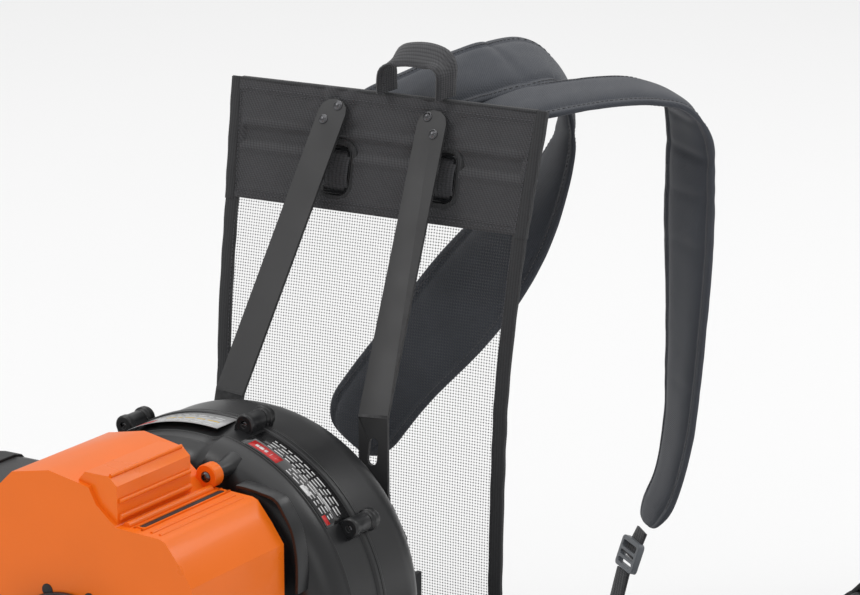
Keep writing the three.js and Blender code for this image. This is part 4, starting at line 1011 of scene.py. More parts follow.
def build_band(context):
    bm = bmesh.new()
    sheet_grid(bm, BAND_BOTTOM, PANEL_TOP, 130, 44)
    windows = BUCKLES.values()
    centres = {face: face.calc_center_median() for face in bm.faces}
    gone = [f for f, c in centres.items() if min(window_distance(c.x, c.z, s) for s in windows) < 0]
    bmesh.ops.delete(bm, geom=gone, context="FACES")
    for vert in bm.verts:
        for spot in windows:
            if vert.is_boundary and abs(window_distance(vert.co.x, vert.co.z, spot)) < 4:
                for _ in range(4):
                    off = window_distance(vert.co.x, vert.co.z, spot)
                    gx = window_distance(vert.co.x + 0.1, vert.co.z, spot) - off
                    gz = window_distance(vert.co.x, vert.co.z + 0.1, spot) - off
                    vert.co.x -= off * gx * 10
                    vert.co.z -= off * gz * 10
    for vert in bm.verts:
        vert.co.y = panel_depth(vert.co.z) - band_relief(vert.co.x, vert.co.z)
    band = finish_piece("band_cover", bm, "band_cloth", "root", "top_band",
                        sharp=180, thickness=3.6, recalculate=False, chart=lambda co: (co.x, co.z))
    piping = bmesh.new()
    loop = rounded_outline(-WINDOW_HALF_WIDTH, WINDOW_HALF_WIDTH, -WINDOW_HALF_HEIGHT,
                           WINDOW_HALF_HEIGHT,
                           WINDOW_CORNER, 10)
    for x, z in windows:
        line = [Vector((x + u, panel_depth(z + v), z + v)) for u, v in loop + loop[:1]]
        sweep(piping, [(u * 0.9, w * 1.3) for u, w in round_section(2.4, 10)],
              frames_along(line, [(0, 1, 0.22)] * len(line)), caps=False)
    finish_piece("window_piping", piping, "binding_tape", "root", sharp=180)
    pitch = context.scene.blower_sizes.stitch_pitch / MM
    stitches = bmesh.new()
    rows = [(567.2, -1), (564.0, -1), (480.0, -1), (477.2, -1), (567.2, 1), (480.0, 1)]
    for z, side in rows:
        half = panel_half(z) - 11
        across = [-half + 2 * half * i / 24 for i in range(25)]
        points = [(x, panel_depth(z) + side * 2.1 - band_relief(x, z), z) for x in across]
        stitch_row(stitches, points, panel_normal, pitch, side=-side)
    edge_rows = [(9.5, 2.9, range(478, 574, 8)), (10.5, 2.2, range(118, 470, 16))]
    for edge in (-1, 1):
        for inset, lift, heights in edge_rows:
            points = [(edge * (panel_half(z) - inset), panel_depth(z) - lift, z) for z in heights]
            stitch_row(stitches, points, panel_normal, pitch)
    finish_piece("band_stitches", stitches, "thread", "root", sharp=60, join=False)


def build_net(context):
    bm = bmesh.new()
    verts = sheet_grid(bm, PANEL_BOTTOM, BAND_BOTTOM + 6, 48, 72, inset=3)
    for vert in verts:
        x, z = vert.co.x, vert.co.z
        share = max(0.0, 1 - (x / 146) ** 2)
        slack = 2.2 * noise.noise(Vector((x * 0.012, z * 0.012, 1.0))) * share
        vert.co.y += slack + 1.2 * share * math.sin((z - 110) / 364 * math.pi)
    net = finish_piece("panel_net_cloth", bm, "panel_net", "root", "mesh_panel",
                       sharp=180, recalculate=False, chart=lambda co: (co.x, co.z * 1.02))
    tape = bmesh.new()
    section = [(-6.5, 0), (-6.2, 1.9), (-4.5, 2.3), (4.5, 2.3), (6, 1.6), (6, -1.6), (4.5, -2.3),
               (-4.5, -2.3), (-6.2, -1.9)]
    for side in (-1, 1):
        heights = [PANEL_BOTTOM - 1 + (BAND_BOTTOM + 2 - PANEL_BOTTOM) * i / 22 for i in range(23)]
        stops = [(side * (panel_half(z) - 5.2 + 0.35 * math.sin(z * 0.21)), panel_depth(z), z,
                  -side, 0, 0)
                 for z in heights]
        ribbon(tape, stops, section, 7.0)
        heights = [BAND_BOTTOM - 2 + (PANEL_TOP + 1.4 - BAND_BOTTOM) * i / 10 for i in range(11)]
        upper = [(u * 0.82, w * 1.28) for u, w in section]
        stops = [(side * (panel_half(z) - 3.6 + 0.3 * math.sin(z * 0.4)), panel_depth(z), z, -side,
                  0, 0)
                 for z in heights]
        ribbon(tape, stops, upper, 6.0)
    stops = [(x, panel_depth(PANEL_BOTTOM + 5), PANEL_BOTTOM + 5, 0, 0, 1) for x in range(-141, 143,
                                                                                          47)]
    ribbon(tape, stops, section, 12.0)
    stops = [(x, panel_depth(PANEL_TOP) - 0.2, PANEL_TOP - 1.2, 0, 1, 0) for x in range(-150, 151,
                                                                                        50)]
    ribbon(tape, stops, [(-3.3, 0), (-2.6, 1.3), (2.6, 1.3), (3.3, 0), (2.6, -1.3), (-2.6, -1.3)],
           12.0)
    border = finish_piece("panel_binding", tape, "binding_tape", "root", sharp=50)


def build_stays():
    bm = bmesh.new()
    facing = Vector((0, -0.877, 0.480)).to_track_quat("Z", "Y").to_matrix().to_4x4()
    for x, z in RIVETS:
        y = 230 - (STAY_TOP - z) * 122.5 / 224 - 1.9
        lathe(bm, [(0.001, 2.6), (1.6, 2.4), (2.9, 1.6), (3.6, 0.6), (4.3, 0.5), (4.3, 0),
                   (0.001, 0)],
              Matrix.Translation((x, y, z)) @ facing, 24, closed=False)
    finish_piece("stay_rivets", bm, "dark_steel", "root", sharp=60)
    for side, sign in (("left", -1), ("right", 1)):
        def widen(bm, sign=sign):
            for vert in bm.verts:
                centre = stay_x(vert.co.z, sign)
                lean = 4.0 * max(0.0, (vert.co.z - 300) / 256)
                vert.co.x = centre + (vert.co.x - centre) * 1.13 + lean
        refined("stay_" + side, "painted_steel", "root", bevel=0.7, segments=3,
                sharp=30,
                extra=widen)


def build_buckles():
    for side in BUCKLES:
        refined("triglide_" + side, "gloss_black", "root", bevel=1.1, segments=3)
    bm = bmesh.new()
    sag = ((34, 4.6), (26, 4.4), (17, 1.0), (9, -3.2), (0, -4.0), (-9, -3.2), (-17, 1.0), (-26, 4.4),
           (-34, 4.6))
    for x, z in BUCKLES.values():
        stops = [(x, panel_depth(z + dz) + dy, z + dz, 1, 0, 0) for dz, dy in sag]
        ribbon(bm, stops, flat_tape(27, 1.6), 3.0)
    finish_piece("buckle_webbing", bm, "webbing", "root", sharp=60,
                 chart=lambda co: (co.x, co.z))
    bm = bmesh.new()
    stops = [(1.0, 243, 577.0, 0, 1, 0), (0.6, 243, 588, 0, 1, 0.1), (2, 244, 599, 0, 0.95, 0.3),
             (9, 246, 607.5, 0, 0.86, 0.5), (22, 246.5, 610.8, 0, 0.85, 0.53),
             (38, 246.5, 611.0, 0, 0.85, 0.53), (52, 245.5, 608.0, 0, 0.9, 0.42),
             (59.4, 244, 600, 0, 0.98, 0.15), (60.2, 243, 589, 0, 1, 0), (59.6, 243, 577.0, 0, 1, 0)]
    ribbon(bm, stops, flat_tape(31, 3.0), 3.0)
    finish_piece("grab_loop_webbing", bm, "webbing", "root", "grab_loop", sharp=60,
                 chart=lambda co: (co.y, co.x + co.z))


# ---- harness ---------------------------------------------------------------------------------

# Each stop is a point on a strap's middle line and the direction across it.
SHOULDER_LEFT = [
    (-32, 254, 524, 1, 0, 0.2), (-10, 263, 554, 0.97, -0.2, -0.1), (22, 286, 574, 0.92, -0.38, -0.3),
    (46, 306, 585, 0.85, -0.45, -0.4), (68, 328, 592, 0.82, -0.47, -0.42),
    (83, 366, 590, 0.6, -0.76, -0.25), (98, 382, 562, 0.5, -0.86, 0),
    (100, 376, 525, 0.6, -0.8, 0), (92, 354, 482, 0.75, -0.65, -0.1),
    (70, 318, 430, 0.85, -0.3, -0.4), (42, 278, 375, 0.86, 0, -0.5), (4, 245, 318, 0.86, 0, -0.5),
    (-32, 229, 262, 0.86, 0, -0.5),
]
SHOULDER_RIGHT = [
    (66, 252, 522, 1, -0.1, 0), (76, 268, 548, 0.97, -0.2, -0.1), (98, 286, 565, 0.85, -0.5, -0.1),
    (137, 305, 575, 0.74, -0.66, -0.12), (168, 327, 580, 0.72, -0.69, -0.12),
    (192, 350, 579, 0.72, -0.7, -0.1),
    (213, 372, 567, 0.74, -0.67, 0), (220, 384, 540, 0.84, -0.54, 0), (219, 388, 500, 0.86, -0.51, 0),
    (219, 388, 450, 0.85, -0.52, 0), (219, 388, 390, 0.8, -0.6, 0), (217, 386, 320, 0.74, -0.67, 0),
    (215, 384, 274, 0.7, -0.71, 0), (209, 376, 225, 0.66, -0.75, 0), (196, 362, 187, 0.66, -0.75, 0),
]
WEBBING_LEFT = [
    (-52, 223, 224, 0.9, 0, -0.4), (-68, 217, 196, 0.9, 0, -0.4), (-92, 212, 160, 0.95, 0, -0.3),
    (-104, 207, 128, 1, 0, 0), (-106, 201, 104, 1, 0, 0),
]
WEBBING_RIGHT = [
    (182, 348, 146, 0.78, -0.62, 0), (174, 334, 92, 0.8, -0.6, 0), (164, 308, 48, 0.9, -0.4, 0),
    (148, 262, 30, 0.95, -0.2, 0), (124, 222, 48, 1, 0, 0), (108, 203, 86, 1, 0, 0),
    (106, 200.5, 102, 1, 0, 0),
]


# Distance from a pad's end over which it thins, reach of a crease, and the bare end of its seam.
THIN_END, CREASE_REACH, BARE_END = 18, 4.5, 24


def pad_section(width, thickness):
    """Half-round pad between two bound edges, with a seam groove on each side."""
    w, t = width / 2, thickness / 2
    side = [(w, 0.0), (w - 0.4, 2.1), (w - 3.5, 2.8), (w - 7.5, 2.7), (w - 9.0, 1.9), (w - 10.6, 3.2),
            (w - 15, t * 0.80), (w - 22, t * 0.96), (w - 30, t), (0.0, t)]
    top = side + [(-u, v) for u, v in reversed(side[:-1])]
    bottom = [(u, -v) for u, v in reversed(top[1:-1])]
    return top + bottom


def pad_ripple(point):
    """Slow unevenness of the stuffing under the cloth."""
    size = sum(height * noise.noise(point * fineness)
               for height, fineness in ((1.1, 0.02), (0.7, 0.055), (0.3, 0.14)))
    return Vector((0.3, 0.5, 0.2)) * size


def build_pad(context, name, node, stops, tip, creases, broad):
    """A stuffed strap: creases are distances along it, broad is a stretch where it lies wider."""
    sizes = context.scene.blower_sizes
    width, thickness = sizes.pad_width / MM, sizes.pad_thickness / MM
    bm = bmesh.new()

    def shape(share, total):
        end = max(0.0, min(share, 1 - share)) * total
        round_end = math.sqrt(max(0.0, 1 - (1 - min(1.0, end / tip)) ** 2))
        thin_end = 0.3 + 0.7 * min(1.0, end / THIN_END)
        dent = sum(depth * math.exp(-((share * total - place) / CREASE_REACH) ** 2)
                   for place, depth in creases)
        middle, reach, gain = broad
        wider = 1 + gain * math.exp(-((share * total - middle) / reach) ** 4)
        return (0.35 + 0.65 * round_end) * wider, thin_end * (1 - min(0.6, dent))

    ribbon(bm, stops, pad_section(width, thickness), 3.0, shape)
    for vert in bm.verts:
        vert.co += pad_ripple(vert.co)
    pad = finish_piece(name, bm, "pad_cloth", "root", node, sharp=180, subsurf=1)
    pitch = sizes.stitch_pitch / MM
    places, total = even_line(stops, pitch)
    frames = frames_along(places, [p[3:6] for p in places])
    bm = bmesh.new()
    for i, frame in enumerate(frames):
        wide, tall = shape(i / (len(frames) - 1), total)
        if min(i, len(frames) - 1 - i) * pitch < BARE_END:
            continue
        for edge in (-1, 1):
            for face in (-1, 1):
                centre = frame @ Vector((edge * (width / 2 - 5.4) * wide, face * 2.95 * tall, 0))
                centre += pad_ripple(centre)
                turn = frame.copy()
                turn.translation = centre
                verts = bmesh.ops.create_cube(bm, size=1.0)["verts"]
                bmesh.ops.scale(bm, vec=(0.7, 0.7, pitch * 0.66), verts=verts)
                bmesh.ops.transform(bm, matrix=turn, verts=verts)
    finish_piece(name + "_stitches", bm, "thread", "root", sharp=60, join=False)


def build_harness(context):
    build_pad(context, "shoulder_pad_left", "shoulder_strap_left", SHOULDER_LEFT, 34,
              [(150, 0.3), (262, 0.3), (520, 0.15)], (330, 150, 0.22))
    build_pad(context, "shoulder_pad_right", "shoulder_strap_right", SHOULDER_RIGHT, 30,
              [(92, 0.12), (128, 0.1), (226, 0.3), (262, 0.4), (300, 0.2), (345, 0.16), (470, 0.12)],
              (430, 120, 0.06))
    bm = bmesh.new()
    ribbon(bm, [(194, 359.5, 182, 0.7, -0.7, 0), (190, 355.5, 170, 0.74, -0.66, 0),
                (185.4, 350.6, 159, 0.78, -0.62, 0)], flat_tape(25, 2.0), 3.0)
    finish_piece("lock_loop", bm, "webbing", "root", sharp=60)
    for side, stops in (("left", WEBBING_LEFT), ("right", WEBBING_RIGHT)):
        bm = bmesh.new()
        total = ribbon(bm, stops, flat_tape(25, 2.0), 5.0)
        strap = finish_piece("webbing_" + side, bm, "webbing", "root",
                             "strap_webbing_" + side, sharp=60)
        refined("ladder_lock_" + side, "grey_moulding", "root", bevel=0.8, segments=2)


# ---- air path --------------------------------------------------------------------------------

def lance_axis():
    return LANCE @ AXES["y"]


BELLOWS_FOLDS, FOLD_HEIGHT, CUFF_LENGTH = 8, 6.0, 26


def bellows_profile(skin, bore, start, end, cuff_start, cuff_end):
    """Section of one half of the hose, with a smooth cuff at one end."""
    outer = [(bore, start), (skin, start), (skin + 0.8, start + 1)]
    if cuff_start:
        outer += [(skin + 0.8, start + CUFF_LENGTH - 2), (skin, start + CUFF_LENGTH)]
    low = start + (CUFF_LENGTH if cuff_start else 1)
    high = end - (CUFF_LENGTH if cuff_end else 1)
    for i in range(BELLOWS_FOLDS * 6 + 1):
        share = i / (BELLOWS_FOLDS * 6)
        wave = 0.5 - 0.5 * math.cos(2 * math.pi * BELLOWS_FOLDS * share)
        outer.append((skin + FOLD_HEIGHT * wave ** 0.6, low + (high - low) * share))
    if cuff_end:
        outer += [(skin + 0.8, end - CUFF_LENGTH + 2), (skin + 0.8, end - 1)]
    outer += [(skin, end), (bore, end)]
    return outer


def build_air_path():
    bm = bmesh.new()
    bend = [(150.3, 20, 70), (158, 20, 70), (165, 20, 70)]
    for i in range(1, 9):
        angle = math.radians(70) * i / 8
        bend.append((165 + 62 * math.sin(angle), 20 + 62 * (1 - math.cos(angle)), 70))
    bend.append(lance_point(0, 26, 0))
    tube(bm, bend, 39.9, 5.0, 56)
    lathe(bm, [(30, 0.2), (46, 0.2), (46, 5), (44.5, 6.5), (41, 7), (30, 7)],
          axis_at("x", (150.2, 20, 70)), 56)
    for i in range(4):
        angle = math.radians(45 + 90 * i)
        place = Vector((156.4, 20 + 43 * math.cos(angle), 70 + 43 * math.sin(angle)))
        lathe(bm, [(0.001, 2.6), (2.6, 2.4), (3.1, 1.4), (3.1, 0), (0.001, 0)], axis_at("x", place),
              16,
              closed=False)
    finish_piece("elbow_shell", bm, "moulded_black", "root", "elbow", sharp=30)
    axis = lance_axis()
    bm = bmesh.new()
    lathe(bm, bellows_profile(43.2, 40.4, 0.8, 124.7, True, False), axis, 72)
    finish_piece("bellows_rear_skin", bm, "hose_rubber", None, "bellows_rear", sharp=60,
                 blend=("root", "hose_mid", *REAR_BEND))
    bm = bmesh.new()
    lathe(bm, bellows_profile(39.2, 36.4, 125.1, 249.2, False, True), axis, 72)
    finish_piece("bellows_front_skin", bm, "hose_rubber", None, "bellows_front", sharp=60,
                 blend=("hose_mid", "tube", *FRONT_BEND))
    for name, body, radius, start, node in (("clamp_rear", "root", 44.2, 6, "hose_clamp_rear"),
                                            ("clamp_front", "tube", 40.1, 230, None)):
        bm = bmesh.new()
        lathe(bm, [(radius, start), (radius + 1.2, start), (radius + 1.6, start + 1),
                   (radius + 1.6, start + 13),
                   (radius + 1.2, start + 14), (radius, start + 14)], axis, 72)
        head = box(bm, (-10, start + 2, radius + 0.6), (8, start + 12, radius + 8))
        bmesh.ops.transform(bm, matrix=LANCE, verts=head)
        screw = LANCE @ Matrix.Translation((8, start + 7, radius + 4.5)) @ AXES["x"]
        lathe(bm, [(0.001, 0), (3.6, 0), (3.6, 4), (0.001, 4)], screw, 6, closed=False)
        finish_piece(name + "_band", bm, "bright_steel", body, node, bevel=0.4)
    bm = bmesh.new()
    lathe(bm, [(33.4, 224), (35.9, 224), (35.9, 262), (35.9, 395), (35.9, 470), (36.1, 478),
               (36.1, 488), (35.9, 492), (35.9, 640), (33.4, 640)], axis, 72)
    for start in (372, 384, 396):
        lathe(bm, [(35.5, start), (36.6, start + 1), (36.6, start + 4), (35.5, start + 5)], axis, 72)
    finish_piece("blower_tube_shell", bm, "moulded_black", "tube", "blower_tube",
                 sharp=30)
    bm = bmesh.new()
    lathe(bm, [(36.3, 500), (40.2, 500), (41, 501.5), (41, 515), (40, 518), (39, 520), (39, 560),
               (38.9, 650), (36, 720), (32.6, 796), (32.6, 800), (33.4, 802), (33.4, 808), (32.8, 810), (29, 810),
               (28.5, 806), (30, 796), (36.3, 645)], axis, 72)
    for i in range(12):
        angle = math.radians(30 * i)
        x, z = 38.9 * math.cos(angle), 38.9 * math.sin(angle)
        tube(bm, [lance_point(x, s, z) for s in (524, 540, 556)], 1.3, 10, 8)
    finish_piece("nozzle_shell", bm, "moulded_black", "nozzle", "nozzle", sharp=30)


# ---- control handle --------------------------------------------------------------------------

def handle_details(bm):
    """Grip ribs on both sides and two clamp rings round the tube."""
    for k in range(9):
        z = 88 + 7 * k
        for x in (-16.2, 16.2):
            tube(bm, [lance_point(x, s, z) for s in (292, 304, 316)], 1.2, 6, 8)
    for s in (279, 341):
        lathe(bm, [(41.4, s - 3), (43, s - 2), (43, s + 2), (41.4, s + 3)], lance_axis(), 64)


def build_handle():
    refined("handle_grip", "moulded_black", "tube", bevel=2.0, segments=3,
            extra=handle_details)
    refined("throttle_trigger", "lever_orange", "trigger", bevel=0.9, segments=3)
    refined("cruise_lever", "moulded_black", "cruise", bevel=0.8, segments=2)
    refined("stop_switch", "switch_red", "stop", bevel=0.6, segments=2)


CABLE_REAR = [(-76, -82, 290), (-76, -79, 270), (-80, -78, 200), (-76, -80, 150), (-50, -84, 116),
              (0, -84, 112), (60, -80, 116), (110, -74, 128), (150, -66, 136), (178, -36, 134),
              (196, 2, 130), (210, 34, 127)]
CABLE_REAR += [lance_point(0, s, z) for s, z in ((4, 58), (40, 57), (80, 57), (124.7, 57))]
CABLE_FRONT = [lance_point(0, s, z) for s,
               z in ((125.3, 57), (170, 55), (215, 54), (250, 54), (276, 60))]


def build_cables():
    bm = bmesh.new()
    tube(bm, CABLE_REAR, 2.5, 5.0, 12)
    finish_piece("throttle_sheath_rear", bm, "hose_rubber", None, "throttle_cable_rear",
                 sharp=180,
                 blend=("root", "hose_mid", *REAR_BEND))
    bm = bmesh.new()
    tube(bm, CABLE_FRONT, 2.5, 5.0, 12)
    finish_piece("throttle_sheath_front", bm, "hose_rubber", None, "throttle_cable_front",
                 sharp=180,
                 blend=("hose_mid", "tube", *FRONT_BEND))


# ---- starter ---------------------------------------------------------------------------------

# The starter rope's way out: X runs along it.
ROPE = Matrix.Translation((18, -208, 166)) @ Matrix.Rotation(math.radians(-20), 4, "Y")


def build_starter():
    bm = bmesh.new()
    front = -236
    lathe(bm, [(6, front + 1), (20, front + 0.4), (22, front + 2.2), (40, front + 2.2), (43, front),
               (48, front + 1), (53, front + 4), (56, front + 10), (56, -206), (57, -204.5),
               (63.4, -204.4), (64, -203.6), (64, -200.3), (52, -200.3), (52, front + 11),
               (42, front + 4), (6, front + 4)], axis_at("y", CRANK), 96)
    for i in range(16):
        angle = math.radians(22.5 * i)
        ray = Vector((math.cos(angle), 0, math.sin(angle)))
        tube(bm, [CRANK + ray * r + Vector((0, front + 2.0, 0)) for r in (22, 32, 43)], 1.7, 8, 8)
    for i in range(4):
        angle = math.radians(45 + 90 * i)
        place = CRANK + Vector((60 * math.cos(angle), -208, 60 * math.sin(angle)))
        lathe(bm, [(0.001, 0), (5.4, 0), (6, 1), (6, 7.5), (0.001, 7.5)], axis_at("y", place), 24,
              closed=False)
    bush = ROPE @ AXES["x"]
    lathe(bm, [(4.4, 45), (9, 46), (11, 44), (11, 26), (4.4, 26)], bush, 32)
    finish_piece("starter_bell", bm, "moulded_black", "root", "starter_housing",
                 sharp=32, bevel=0.5)
    bm = bmesh.new()
    lathe(bm, [(0.001, 58), (7, 60.4), (9, 66), (9.5, 72), (0.001, 72)], bush, 32, closed=False)
    section = [(x * 0.97, y) for x, y in rounded_outline(66, 86, -38, 38, 9.5, 5)]
    slab(bm, section, ROPE @ Matrix.Translation((0, 0, -8.6)), 17.2)
    finish_piece("starter_handle", bm, "moulded_black", "starter_grip",
                 "starter_grip",
                 sharp=40, bevel=5.0, segments=4)
    bm = bmesh.new()
    tube(bm, [ROPE @ Vector((x, 0, 0)) for x in (6, 20, 34, 48, 60)], 2.0, 4, 12)
    finish_piece("starter_cord", bm, "pull_rope", None, "starter_rope", sharp=180,
                 blend=("root", "starter_grip", *[metres(ROPE @ Vector((x, 0, 0))) for x in (44,
                                                                                             59)]))
    keep_node("starter_pulley", "moulded_black")


# ---- fuel tank, filter and controls ----------------------------------------------------------

def build_tank():
    bm = bmesh.new()
    slab(bm, rounded_outline(-106, 98, -196, -74, 26, 8), Matrix.Translation((0, 0, 15)), 83)
    finish_piece("fuel_tank_shell", bm, "tank_white", "root", "fuel_tank", sharp=30,
                 bevel=9.0, segments=5)
    bm = bmesh.new()
    lathe(bm, [(13, 82), (17, 97.2), (17, 108), (13, 108)], axis_at("z", (-78, -168, 0)), 40)
    for z in (40, 56, 72):
        outline = rounded_outline(-106.6, 98.6, -196.6, -73.4, 26.5, 8)
        line = [Vector((x, y, z)) for x, y in outline + outline[:1]]
        sweep(bm, [(-1, 0.5), (1, 0.5), (1, -0.5), (-1, -0.5)],
              frames_along(line, [(0, 0, 1)] * len(line)), caps=False)
    box(bm, (-60, -140, 12.3), (60, -90, 20))
    finish_piece("fuel_tank_neck", bm, "tank_white", "root", sharp=40)
    bm = bmesh.new()
    lathe(bm, [(17.4, 98.6), (23, 98.6), (23, 115), (20.5, 118.6), (0.001, 119), (0.001, 116),
               (17.4, 110)],
          axis_at("z", (-78, -168, 0)), 48, closed=False)
    for i in range(24):
        angle = math.radians(15 * i)
        x, y = -78 + 22.9 * math.cos(angle), -168 + 22.9 * math.sin(angle)
        tube(bm, [(x, y, 100), (x, y, 107), (x, y, 114.5)], 1.1, 8, 8)
    finish_piece("fuel_cap_lid", bm, "moulded_black", "fuel_cap", "fuel_cap",
                 sharp=35)


def build_filter():
    refined("filter_housing", "moulded_black", "root", bevel=1.6, segments=3)
    refined("filter_cover", "dull_black", "filter_cover", bevel=2.4, segments=3)
    keep_node("filter_element", "filter_foam")
    bm = bmesh.new()
    axis = axis_at("x", (0, -117, 255))
    lathe(bm, [(0.001, -196), (12, -195.6), (15, -193), (15, -184), (12, -181.5), (5, -181.5),
               (5, -166), (0.001, -166)], axis, 40, closed=False)
    for i in range(8):
        angle = math.radians(45 * i)
        y, z = -117 + 14.4 * math.cos(angle), 255 + 14.4 * math.sin(angle)
        tube(bm, [(-193, y, z), (-189, y, z), (-184, y, z)], 2.0, 5, 10)
    finish_piece("filter_screw", bm, "grey_moulding", "filter_knob", "filter_knob",
                 sharp=35)
    refined("choke_lever", "lever_orange", "choke", bevel=0.8, segments=2)
    bm = bmesh.new()
    lathe(bm, [(0.001, -179), (4, -178.6), (8, -176.4), (10.6, -172.6), (11.5, -169), (0.001, -169)],
          axis_at("y", (-118, 0, 282)), 40, closed=False)
    finish_piece("primer_dome", bm, "bulb_clear", "primer", "primer_bulb", sharp=60)


# ---- base and frame --------------------------------------------------------------------------

def build_base():
    refined("base_frame", "moulded_black", "root", bevel=1.6, segments=2)
    refined("back_frame", "dull_black", "root", bevel=1.0, segments=2)
    bm = bmesh.new()
    path = [(-128, 12.4), (-128, 40), (-128, 70), (-116, 94), (-90, 100), (0, 100), (90, 100),
            (116, 94), (128, 70), (128, 40), (128, 12.4)]
    tube(bm, [(x, 190, z) for x, z in path], 8, 5.0, 28)
    for x in (-128, 128):
        lathe(bm, [(8, 12.4), (12, 12.4), (12, 15), (9, 17), (8, 17)], axis_at("z", (x, 190, 0)), 36)
    finish_piece("hoop_tube", bm, "painted_steel", "root", "lower_hoop", sharp=40)
    for side, x in (("left", -95), ("right", 95)):
        bm = bmesh.new()
        lathe(bm, [(0.001, 12.4), (14, 12.4), (14, 14.5), (11.4, 17), (11.4, 23), (14, 25.5),
                   (14, 27.6),
                   (0.001, 27.6)], axis_at("z", (x, 20, 0)), 40, closed=False)
        finish_piece("isolator_mount_" + side, bm, "hose_rubber", "root",
                     "isolator_" + side,
                     sharp=40)


def build_engine():
    finishes = {
        "crankcase": "cast_aluminium", "cylinder": "cast_aluminium", "piston": "cast_aluminium",
        "connecting_rod": "bright_steel", "crankshaft": "bright_steel",
        "bearing_front": "bright_steel",
        "bearing_rear": "bright_steel", "flywheel": "cast_aluminium",
        "ignition_coil": "moulded_black",
        "spark_plug": "plug_ceramic", "muffler": "bright_steel", "carburetor": "cast_aluminium",
        "throttle_arm": "bright_steel", "impeller": "grey_moulding", "intake_grille": "dull_black",
    }
    for node, material in finishes.items():
        keep_node(node, material)


# ---- stage -----------------------------------------------------------------------------------

VIEW_TURN, VIEW_RISE = math.radians(31.74), math.radians(14.39)
VIEW_DISTANCE, VIEW_RIGHT, VIEW_UP = 2.54256, 0.16546, 0.14289
LENS, SENSOR = 130.5, 36.0
FLOOR_HALF, FLOOR_DROP = 30, 0.0005
WORLD_GREY = 0.56
LAMP_AIM = Vector((0.05, 0.0, 0.35))


def build_stage(context):
    scene = context.scene
    level = math.cos(VIEW_RISE)
    back = Vector((math.sin(VIEW_TURN) * level, -math.cos(VIEW_TURN) * level, math.sin(VIEW_RISE)))
    right = Vector((math.cos(VIEW_TURN), math.sin(VIEW_TURN), 0))
    up = back.cross(right)
    target = Vector((0, 0, 0.3)) + right * VIEW_RIGHT + up * VIEW_UP
    data = bpy.data.cameras.new("view")
    data.lens = LENS
    data.sensor_width = SENSOR
    data.clip_end = 100
    camera = bpy.data.objects.new("view", data)
    camera.location = target + back * VIEW_DISTANCE
    camera.rotation_mode = "QUATERNION"
    camera.rotation_quaternion = (-back).to_track_quat("-Z", "Y")
    scene.collection.objects.link(camera)
    scene.camera = camera
    scene.view_settings.view_transform = "Standard"

    bm = bmesh.new()
    bmesh.ops.create_grid(bm, x_segments=1, y_segments=1, size=FLOOR_HALF)
    mesh = bpy.data.meshes.new("floor")
    bm.to_mesh(mesh)
    bm.free()
    material, tree, shader = new_material("studio_floor")
    place = tree.node("ShaderNodeTexCoord").outputs["Object"]
    colour = tuple(scene.blower_colours.floor)
    tone = tree.noise(place, 1.5)
    paler = [min(1, c * 1.01) for c in colour]
    tree.link(tree.mix(tone, rgb(colour), rgb(paler)), shader.inputs["Base Color"])
    shader.inputs["Roughness"].default_value = 1.0
    shader.inputs["Specular IOR Level"].default_value = 0.0
    mesh.materials.append(material)
    floor = bpy.data.objects.new("floor", mesh)
    floor.location.z = -FLOOR_DROP
    scene.collection.objects.link(floor)

    world = bpy.data.worlds.new("studio")
    world.use_nodes = True
    sky = world.node_tree.nodes["Background"]
    sky.inputs["Color"].default_value = (WORLD_GREY, WORLD_GREY, WORLD_GREY, 1)
    sky.inputs["Strength"].default_value = 1.0
    scene.world = world
    lamps = [("key", (-1.6, -2.0, 3.2), 24, (1.1, 1.1)), ("rim", (1.8, 2.8, 2.8), 12, (1.4, 0.8)),
             ("fill", (2.8, -1.8, 1.6), 5, (1.4, 1.4)),
             ("ceiling", (-1.0, 2.4, 6.0), 262, (10.0, 10.0))]
    for name, place, power, size in lamps:
        light = bpy.data.lights.new(name, "AREA")
        light.energy = power
        light.shape = "RECTANGLE"
        light.size, light.size_y = size
        lamp = bpy.data.objects.new(name, light)
        lamp.location = place
        lamp.rotation_mode = "QUATERNION"
        aim = Vector((0, 0, -1)) if name == "ceiling" else LAMP_AIM - Vector(place)
        lamp.rotation_quaternion = aim.to_track_quat("-Z", "Y")
        scene.collection.objects.link(lamp)


# ---- operators and panel ---------------------------------------------------------------------

class BLOWER_OT_stage(bpy.types.Operator):
    """Makes the pale floor, the soft lights, the camera and the materials"""
    bl_idname = "blower.stage"
    bl_label = "Stage"

    def execute(self, context):
        build_stage(context)
        make_materials(context.scene.blower_colours)
        return {"FINISHED"}


class BLOWER_OT_fan(bpy.types.Operator):
    """Makes both halves of the fan housing, its screws and its stickers"""
    bl_idname = "blower.fan"
    bl_label = "Fan housing"

    def execute(self, context):
        front_half(context)
        rear_half(context)
        fan_labels()
        fan_screws()
        return {"FINISHED"}


class BLOWER_OT_cover(bpy.types.Operator):
    """Makes the engine cover with its ridge, beads and slot lip, and the painted shade in its slot and end holes
    """
    bl_idname = "blower.cover"
    bl_label = "Engine cover"

    def execute(self, context):
        refined("engine_cover", "shell_orange", "root", bevel=2.6, segments=4,
                extra=cover_details)
        paint_cover_opening_shade()
        return {"FINISHED"}


class BLOWER_OT_back(bpy.types.Operator):
    """Makes the stays, the band, the net panel, its buckles and the grab loop"""
    bl_idname = "blower.back"
    bl_label = "Back panel"

    def execute(self, context):
        build_stays()
        build_band(context)
        build_net(context)
        build_buckles()
        return {"FINISHED"}


class BLOWER_OT_harness(bpy.types.Operator):
    """Makes the shoulder pads, their webbing and their buckles"""
    bl_idname = "blower.harness"
    bl_label = "Harness"

    def execute(self, context):
        build_harness(context)
        return {"FINISHED"}


